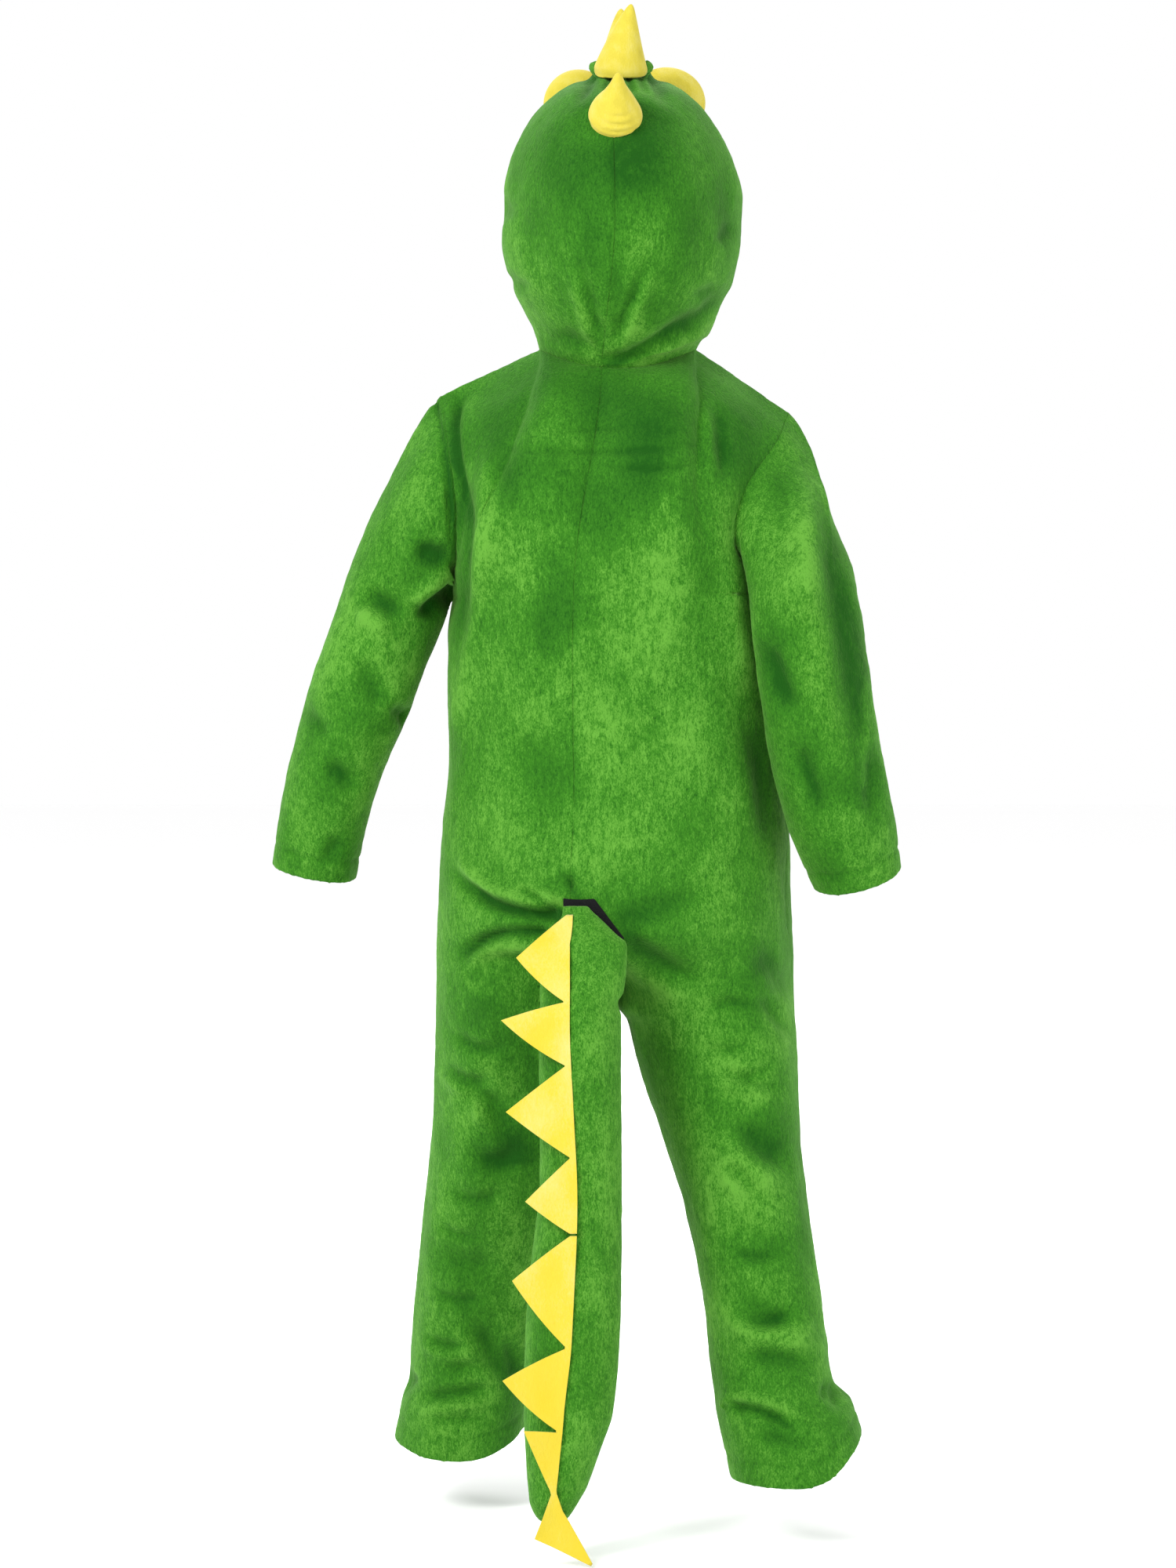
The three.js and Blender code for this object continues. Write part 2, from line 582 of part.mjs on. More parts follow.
// The seat as a thick slab up to the tapes' outer face, which flattens the tail's top against it.
function seatSlab(side) {
  const { firstRow, rows, columns, inside } = SEAT_SLAB;
  const grid = panelGrid(side, 1);
  const lines = moved(grid, 3 * SEAT_GAP + 2 * TAPE).slice(firstRow, firstRow + rows);
  const outer = lines.map((line) => line.slice(0, columns));
  outer.forEach((line) => line[0].setX(line[0].x - side * 2 * SEAM));
  const inner = outer.map((line) => line.map((p) => p.clone().setY(inside)));
  return between(outer, inner, false);
}

// Half of a tail section: from the ridge round one side to the under seam, with a straight face along the seam plane.
function tailHalf(side) {
  const rings = TAIL.map((row) => {
    const start = row.ridge * DEGREES;
    const shift = new THREE.Vector3(Math.cos(start), -Math.sin(start), 0).multiplyScalar(side * SEAM);
    const ring = [];
    for (let k = 0; k <= TAIL_ARC_CELLS; k++) {
      const angle = start + (side * k * Math.PI) / TAIL_ARC_CELLS;
      ring.push(tailPoint(row, angle).add(shift));
    }
    return ring;
  });
  return loft(rings);
}

const tailPoint = (row, angle) =>
  new THREE.Vector3(row.x + row.wide * Math.sin(angle), row.y + row.deep * Math.cos(angle), row.z);

// The tail's ridge seam at a height.
function ridgePoint(z) {
  const row = { z };
  for (const name of ["x", "y", "wide", "deep", "ridge"]) row[name] = column(TAIL, name, z);
  return tailPoint(row, row.ridge * DEGREES);
}

// Strip of felt plates on a grid: each row runs from the strip's edge on the ridge, over the narrow band that joins the
// plates, to the zigzag's edge, which climbs to a plate's tip and falls back to the band.
function plateStrip(plates, last) {
  const rows = [];
  for (const { top, bottom, tipX, tipZ } of plates) {
    const tipShare = Math.max(0.12, (top - tipZ) / (top - bottom));
    for (const share of [0, tipShare / 2, tipShare, (1 + tipShare) / 2, 1]) {
      const z = top + (bottom - top) * share;
      const band = [ridgePoint(z).x + PLATE_BAND, z];
      const valley = share < tipShare ? top : bottom;
      const climb = share < tipShare ? share / tipShare : (1 - share) / (1 - tipShare);
      const start = [ridgePoint(valley).x + PLATE_BAND, valley];
      rows.push([[band[0] - PLATE_BAND - 1, z], band, mix(start, [tipX, tipZ], climb)]);
    }
  }
  if (last) rows.push(...last.map(([inner, outer]) => [inner, mix(inner, outer, 0.3), outer]));
  const sheet = (thick) =>
    rows.map(([inner, band, outer]) =>
      [inner, band, mix(band, outer, 0.5), outer].map((p) => onRidge(p, thick)),
    );
  return between(sheet(FELT), sheet(0), false);
}

const mix = ([a, b], [c, d], share) => [a + (c - a) * share, b + (d - b) * share];

// A place seen from behind, set on the felt that lies along the ridge.
function onRidge([x, z], thick) {
  const ridge = ridgePoint(Math.max(z, TAIL[TAIL.length - 2].z));
  return new THREE.Vector3(x, ridge.y + PLATE_LIFT + PLATE_RISE * Math.abs(x - ridge.x) + thick, z);
}

// Point of the seat's back at a place seen from behind, where the torso isn't yet turning into legs.
function seatPoint(x, z) {
  const width = column(TORSO, x > 0 ? "left" : "right", z);
  const share = 1 - (Math.abs(x) / width) ** (2 / BOXINESS);
  return new THREE.Vector3(x, column(TORSO, "back", z) * share ** (BOXINESS / 2), z);
}

// Tape on the seat, from its points moved out; its upper edge slopes down to the right.
function seatTape(from, thick = TAPE, margin = 0) {
  const { left, right, top, bottom, cells, slopeFrom, slopeDrop } = SEAT_TAPE;
  const rows = 3;
  const width = left - right + 2 * margin;
  const grid = gridOf(rows, cells, false, -1, (r, c) => {
    const x = left + margin - (width * c) / cells;
    const drop = slopeDrop * Math.max(0, (slopeFrom - x) / (slopeFrom - right));
    const height = top - bottom - drop + 2 * margin;
    return seatPoint(x, top - drop + margin - (height * r) / rows);
  });
  return wall(grid, -from, -from - thick);
}

// Block that holds the tail's top clear of the tapes under it.
const tapeBlock = () => seatTape(SEAT_SLAB.inside, 3 * SEAT_GAP + 2 * TAPE - SEAT_SLAB.inside, SEAT_GAP);

// Front tapes: the loop tape lies inside the right front's edge, and the hook tape inside the left front's edge
// reaches over it.
function frontTapes() {
  const { cover, firstRow, lastRow, slack } = FRONT_TAPE;
  const inside = PLUSH + SEAT_GAP;
  const [left, right] = [1, -1].map((side) => panelGrid(side, -1));
  const pick = (grid, share) => {
    const rows = grid.points.slice(firstRow, lastRow + 1);
    return rows.map((line, r) => ({
      point: line[0].clone().lerp(line[1], share),
      normal: grid.normals[r + firstRow][0].clone().lerp(grid.normals[r + firstRow][1], share).normalize(),
    }));
  };
  const sheet = (lines, depths) =>
    lines[0].map((_, r) => lines.map((line, k) => line[r].point.clone().addScaledVector(line[r].normal, -depths[k])));
  const upward = (lines, depths) => sheet(lines, depths).reverse();
  const loopLines = [pick(right, 0), pick(right, cover)];
  const loop = between(sheet(loopLines, [inside, inside]), sheet(loopLines, [inside + TAPE, inside + TAPE]), false);
  const over = inside + TAPE + slack;
  const hookLines = [pick(left, cover), pick(left, 0), pick(right, 0), pick(right, cover)];
  const depths = [inside, inside, over, over];
  const hook = between(upward(hookLines, depths), upward(hookLines, depths.map((d) => d + TAPE)), false);
  return { hook, loop };
}

// Solid of a closed geometry.
function solid(geometry) {
  const bare = geometry.clone();
  bare.deleteAttribute("normal");
  bare.deleteAttribute("uv");
  const merged = mergeVertices(bare, 1e-3);
  return new wasm.Manifold(
    new wasm.Mesh({
      numProp: 3,
      vertProperties: merged.getAttribute("position").array,
      triVerts: new Uint32Array(merged.index.array),
    }),
  );
}

// Geometry of a solid.
function geometryOf(body) {
  const mesh = body.getMesh();
  const geometry = new THREE.BufferGeometry();
  geometry.setAttribute("position", new THREE.BufferAttribute(mesh.vertProperties, mesh.numProp));
  geometry.setIndex(new THREE.BufferAttribute(mesh.triVerts, 1));
  return geometry;
}

// A geometry cut back by blocks; the largest piece is kept.
function trimmed(geometry, blocks) {
  const cut = blocks.reduce((body, block) => body.subtract(solid(block)), solid(geometry));
  const pieces = cut.decompose().sort((a, b) => b.volume() - a.volume());
  return geometryOf(pieces[0]);
}

// Stuffed cone: a blank with slightly hollow sides and a round tip, trimmed to the hood.
function coneBlank({ base, elevation, lean, radius, length }) {
  const outline = [[0, -CONE_SINK], [radius, -CONE_SINK]];
  const steps = 5;
  for (let k = 0; k <= steps; k++) {
    const h = (0.94 * k) / steps;
    outline.push([radius * (1 - 0.93 * h) ** 1.15, length * h]);
  }
  outline.push([0, length]);
  const geometry = new THREE.LatheGeometry(outline.map((p) => new THREE.Vector2(...p)), 14);
  const [e, l] = [elevation * DEGREES, lean * DEGREES];
  const axis = new THREE.Vector3(Math.sin(l), Math.cos(e) * Math.cos(l), Math.sin(e) * Math.cos(l));
  geometry.applyQuaternion(new THREE.Quaternion().setFromUnitVectors(new THREE.Vector3(0, 1, 0), axis));
  return geometry.translate(...base);
}

// Padded eye: a dome trimmed to the hood and to the cone that it is pressed against.
function eye({ middle, half }, blocks) {
  const geometry = new THREE.SphereGeometry(1, 16, 10);
  geometry.scale(...half);
  geometry.translate(...middle);
  return trimmed(geometry, blocks);
}

const looks = {
  plush: { color: COLOURS.plush, roughness: 0.95, metalness: 0 },
  felt: { color: COLOURS.felt, roughness: 0.95, metalness: 0 },
  cone: { color: COLOURS.cone, roughness: 0.95, metalness: 0 },
  tape: { color: COLOURS.tape, roughness: 0.8, metalness: 0 },
};

const costume = new THREE.Group();
costume.name = "crocodile_costume";

function add(name, geometry, look) {
  const mesh = new THREE.Mesh(geometry, new THREE.MeshStandardMaterial(looks[look]));
  mesh.name = name;
  costume.add(mesh);
}

for (const side of [1, -1]) {
  add("back_" + sideName(side), wall(panelGrid(side, 1), 0, PLUSH), "plush");
  add("front_" + sideName(side), wall(panelGrid(side, -1), 0, PLUSH), "plush");
  add("sleeve_" + sideName(side), wall(sleeveGrid(side), 0, PLUSH), "plush");
  add("hood_" + sideName(side), wall(hoodGrid(side), 0, PLUSH), "plush");
}

const block = hoodBlock();
for (const row of CONES) add(row.name, trimmed(coneBlank(row), [block]), "cone");
const frontCone = CONES[CONES.length - 1];
const beside = coneBlank({ ...frontCone, radius: frontCone.radius + 2 * SEAT_GAP });
for (const row of EYES) add(row.name, eye(row, [block, beside]), "cone");

const slabs = [seatSlab(1), seatSlab(-1), tapeBlock()];
for (const side of [1, -1]) add("tail_" + sideName(side), trimmed(tailHalf(side), slabs), "plush");
add("plates_upper", plateStrip(PLATES_UPPER), "felt");
add("plates_lower", plateStrip(PLATES_LOWER, LAST_PLATE), "felt");

add("tape_seat", seatTape(SEAT_GAP), "tape");
add("tape_tail", seatTape(2 * SEAT_GAP + TAPE), "tape");
const tapes = frontTapes();
add("tape_hook_front", tapes.hook, "tape");
add("tape_loop_front", tapes.loop, "tape");

export default costume;
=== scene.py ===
import math
from types import SimpleNamespace

import bpy
import numpy as np
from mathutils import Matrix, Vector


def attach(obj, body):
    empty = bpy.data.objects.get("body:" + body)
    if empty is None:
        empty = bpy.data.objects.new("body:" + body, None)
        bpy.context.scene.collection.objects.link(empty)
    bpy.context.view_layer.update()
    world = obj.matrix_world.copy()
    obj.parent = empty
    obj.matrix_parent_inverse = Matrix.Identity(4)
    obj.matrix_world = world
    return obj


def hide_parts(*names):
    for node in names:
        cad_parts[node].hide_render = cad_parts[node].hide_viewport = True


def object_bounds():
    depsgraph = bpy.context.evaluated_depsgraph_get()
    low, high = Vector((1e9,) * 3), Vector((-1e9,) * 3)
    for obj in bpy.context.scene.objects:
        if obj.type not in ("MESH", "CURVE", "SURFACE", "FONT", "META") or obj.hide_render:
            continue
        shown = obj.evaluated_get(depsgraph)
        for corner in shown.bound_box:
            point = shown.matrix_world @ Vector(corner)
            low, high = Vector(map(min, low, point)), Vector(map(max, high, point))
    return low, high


bl_info = {
    "name": "Crocodile costume",
    "version": (1, 0, 0),
    "blender": (4, 5, 0),
    "location": "3D View > Sidebar > Costume",
    "description": "Builds a plush crocodile costume on its packed frame",
    "category": "Object",
}

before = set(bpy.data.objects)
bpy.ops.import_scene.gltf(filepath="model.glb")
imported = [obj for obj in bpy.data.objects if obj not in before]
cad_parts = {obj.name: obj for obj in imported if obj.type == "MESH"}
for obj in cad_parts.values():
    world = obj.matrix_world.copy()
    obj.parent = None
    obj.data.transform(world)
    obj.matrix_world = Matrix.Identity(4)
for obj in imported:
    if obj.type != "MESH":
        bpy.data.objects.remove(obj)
CAD_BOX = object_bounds()

MM = 0.001
QUARTER = math.pi / 2
SIDES = ((1, "left"), (-1, "right"))

# Half of the gap between two pieces at a seam
SEAM = 0.02
# Heights at which the body's sections change, the height of the row that becomes the trouser hem,
# and the heights between which a sleeve hangs free
UNDERARM = -208
SEAT_FOLD = -500
CROTCH = -572
HEM_START = -885
HEM_ROW = -960
SLEEVE_TOP = -217
SLEEVE_END = -458
# Power that turns an ellipse into a rounded box, and the neckline's share of a panel's top edge
BOXINESS = 0.86
NECK_SHARE = 4 / 7


def table(names, *rows):
    """A table's named columns, each as an array."""
    return dict(zip(names.split(), np.array(rows, float).T))


def named(names, *values):
    """Values under their names."""
    return SimpleNamespace(**dict(zip(names.split(), values)))


# Neckline: middle, half-width, half-depth, its heights at the sides, back and front, and its turn to the left
NECK = SimpleNamespace(x=-2, half=70, deep=60, sides=9, back=-9, front=-20, turn=12)

# Torso below the underarm: half-widths, half-depths, and the turn of the centre seams towards the left
TORSO = table(
    "z left right back front turn",
    (-208, 143, 149, 112, 100, 12),
    (-250, 149, 151, 110, 106, 12),
    (-350, 149, 152, 107, 112, 12),
    (-430, 155, 155, 115, 113, 12),
    (-490, 157, 157, 121, 108, 12),
    (-530, 158, 159, 118, 102, 6),
    (-572, 159, 160, 110, 96, 0),
)

# Legs, left and right: inseam side and outer side from the mid plane, middle in depth, half-depth
LEG_COLUMNS = "z inner outer y deep"
LEG = {
    1: table(
        LEG_COLUMNS,
        (-500, 0, 158, 4, 104),
        (-572, 0, 159, 4, 90),
        (-600, 9, 160, 3, 85),
        (-650, 17, 162, -3, 81),
        (-700, 27, 166, -10, 78),
        (-760, 42, 173, -18, 74),
        (-820, 56, 180, -28, 70),
        (-870, 66, 185, -36, 67),
        (-915, 74, 189, -43, 65),
        (-932, 77, 195, -46, 68),
        (-960, 81, 201, -50, 69),
    ),
    -1: table(
        LEG_COLUMNS,
        (-500, 0, 157, 4, 104),
        (-572, 0, 160, 4, 90),
        (-588, 11, 161, 7, 87),
        (-620, 20, 163, 14, 83),
        (-690, 42, 164, 30, 77),
        (-756, 61, 170, 46, 72),
        (-823, 75, 180, 62, 68),
        (-890, 84, 188, 77, 65),
        (-908, 87, 192, 81, 65),
        (-925, 91, 206, 85, 68),
        (-960, 100, 214, 90, 70),
    ),
}

# Height of each trouser hem at the outer side, inseam, back and front
HEM = {
    1: SimpleNamespace(outer=-973, inner=-963, back=-984, front=-958),
    -1: SimpleNamespace(outer=-943, inner=-979, back=-977, front=-950),
}

# Armhole edge from the shoulder to the underarm, by side and by back (1) or front (-1)
ARMHOLE = {
    (1, 1): [(156, -2, -32), (150, 30, -72), (142, 47, -122), (141, 38, -172), (141, -21, -208)],
    (1, -1): [(156, -2, -32), (151, -38, -70), (143, -62, -120), (142, -56, -172), (141, -21, -208)],
    (-1, 1): [(-154, 4, -47), (-142, 42, -74), (-113, 74, -116), (-106, 80, -168), (-146, 22, -208)],
    (-1, -1): [(-154, 4, -47), (-150, -28, -80), (-146, -45, -125), (-146, -34, -172), (-146, 22, -208)],
}

# Sleeve rings: middle, half-width, half-depth, turn of the long axis, and roll of the cloth round the arm
SLEEVE_COLUMNS = "z x y wide deep turn roll"
SLEEVE = {
    1: table(
        SLEEVE_COLUMNS,
        (-217, 198, -4, 48, 43, 0, 0),
        (-293, 225, 0, 46, 42, 0, 0),
        (-359, 248, -4, 41, 39, 0, 0),
        (-412, 262, -12, 39.5, 37, 0, 0),
        (-458, 271, -20, 38, 35, 0, 0),
    ),
    -1: table(
        SLEEVE_COLUMNS,
        (-217, -165, 87, 50, 38, -30, 42),
        (-286, -174, 89, 50, 40, -20, 28),
        (-348, -184, 85, 50, 40, -12, 18),
        (-404, -198, 75, 48, 39, -5, 10),
        (-458, -213, 62, 40, 36, 0, 5),
    ),
}

# Hood from the neckline to the crown. "edge" is the angle in front of the ear at which the face opening lies.
HOOD = table(
    "z x half back front edge",
    (0, -2, 70, 60, 60, 90),
    (20, -4, 76, 80, 74, 64),
    (42, -5, 86, 98, 86, 51),
    (70, -6, 97.5, 111, 95, 45),
    (105, -6, 104, 118, 100, 43),
    (140, -6, 105, 120, 102, 46),
    (172, -5, 99, 114, 100, 55),
    (200, -4, 87, 102, 94, 71),
    (222, -4, 72, 84, 80, 90),
    (239, -4, 51, 59, 58, 90),
    (249, -4, 27, 32, 31, 90),
    (252, -4, 0, 0, 0, 90),
)
HOOD["v"] = np.linspace(0, 1, len(HOOD["z"]))
# Turn of the hood's centre seam to the left at the neck and at the crown, and the share at which it is full
HOOD_TURN = SimpleNamespace(neck=12, crown=4, full=0.4)
# Share of the hood's rows over which the neckline's dip fades
NECK_FADE = 0.3
HOOD_MIDDLE = (NECK.x, 0, 100.0)
# The crown is pulled up into a low tent under the top cone, with a raised rim at its sides. The tent fades
# between two distances from its width, and it and the rim start and are full at shares of the hood's rows.
TENT = SimpleNamespace(
    x=-5, y=-2, high=10, wide=22, long=25, rim=10, inside=5, outside=9, start=0.5, full=0.8
)
RIM = SimpleNamespace(off=1.5, outside=6.5, inside=3, y=10, long=15)

# Cones: base, elevation of the axis from straight back, lean to the left, radius, length, bend of the tip
# to the left and upwards, how blunt the tip is (0 is a plain cone), its creases and its waist
CONE_COLUMNS = "x y z elevation lean wide long bend_left bend_up blunt crease waist"
CONES = {
    "cone_rear": named(CONE_COLUMNS, 1, 92, 204, 42, -3, 24.5, 51, 0, 3, 0.4, 0.5, 0.08),
    "cone_top": named(CONE_COLUMNS, -4, 20, 249.5, 75, -4, 26, 63, -5, 0, 0.2, 0, 0),
    "cone_front": named(CONE_COLUMNS, -3, -38, 248, 102, -1, 22, 69, -1, 0, 0.45, 0, 0),
}
CONE_SINK = 12
STUFFED_COLUMNS = 72

# Eyes: middle and half sizes of each padded dome
EYES = {
    "eye_left": SimpleNamespace(middle=(33, -50, 229), half=(32, 21, 32)),
    "eye_right": SimpleNamespace(middle=(-46, -50, 231), half=(35, 21, 32)),
}

# Tail: middle, half-width, half-depth, and the angle of the ridge seam towards the left
TAIL = table(
    "z x y wide deep ridge",
    (-476, 36, 130, 9, 4, 14),
    (-484, 32, 132.5, 14, 9, 28),
    (-492, 30, 135, 20.5, 13, 26),
    (-500, 28.8, 137.5, 27.5, 16.5, 24),
    (-507, 28, 140, 35, 19, 22),
    (-527, 28.5, 144, 36, 25, 20.3),
    (-548, 30, 148, 35.3, 29.5, 18.1),
    (-557, 32, 149, 32.7, 31, 16),
    (-569, 31, 151, 34.5, 32, 16.9),
    (-640, 31, 154, 34, 34, 12),
    (-707, 31.2, 158, 33.8, 34, 6),
    (-774, 34, 164, 37, 35, 3),
    (-839, 37.2, 171, 39.5, 36, 3),
    (-904, 41, 179, 37, 34, 8),
    (-937, 45.5, 183, 31, 29, 7),
    (-969, 50.3, 187, 24.4, 23, 5.5),
    (-986, 54, 189, 18, 17, 3),
    (-996, 55, 190, 11, 10, 0),
    (-1000, 55.5, 190, 5, 5, 0),
)

# Felt plates: the base's two ends on the ridge, the tip, how far the lower edge bulges,
# and how far the tip curls up
PLATE_COLUMNS = "top bottom tip_x tip_z bulge curl"
PLATES = {
    "plates_upper": table(
        PLATE_COLUMNS,
        (-482, -552.5, 86, -516, 2, 3),
        (-553.5, -606.5, 98.5, -567, 2.5, 5),
        (-607.5, -684.5, 94.5, -645, 1, 2),
        (-685.5, -749.2, 78, -721, 1, 2),
    ),
    "plates_lower": table(
        PLATE_COLUMNS,
        (-750.8, -843.5, 89, -787, 2, 3),
        (-845.5, -914, 97, -870, 2.5, 5),
        (-916, -966, 79, -913.5, 0.4, 2),
    ),
}
# The last plate hangs over the tail's tip: its right and left edges, from its top down
LAST_PLATE = table(
    "right_x right_z left_x left_z",
    (51, -969, 56, -970),
    (46, -984, 63, -990),
    (40, -994, 70, -1008),
    (20.5, -1029, 22, -1031),
)
# Width of the strip between two plates, the height below which the felt hangs free and how softly it
# turns there, how far it lies off the ridge, its rise away from the ridge, and its thickness in plushes
PLATE = SimpleNamespace(band=4.6, hang=-984, soft=8, lift=1.1, rise=0.12, thick=0.8)

# The tapes between seat and tail: their ends, their top, where and how far the top slopes, their width,
# and how far out they lie
TAPE_COLUMNS = "left right top slope_from slope_drop wide out"
TAPES = {
    "tape_seat": named(TAPE_COLUMNS, 46, -7, -470, 19, 34.5, 13, 1.2),
    "tape_tail": named(TAPE_COLUMNS, 43, -3, -479, 24, 25, 11, 2.9),
}

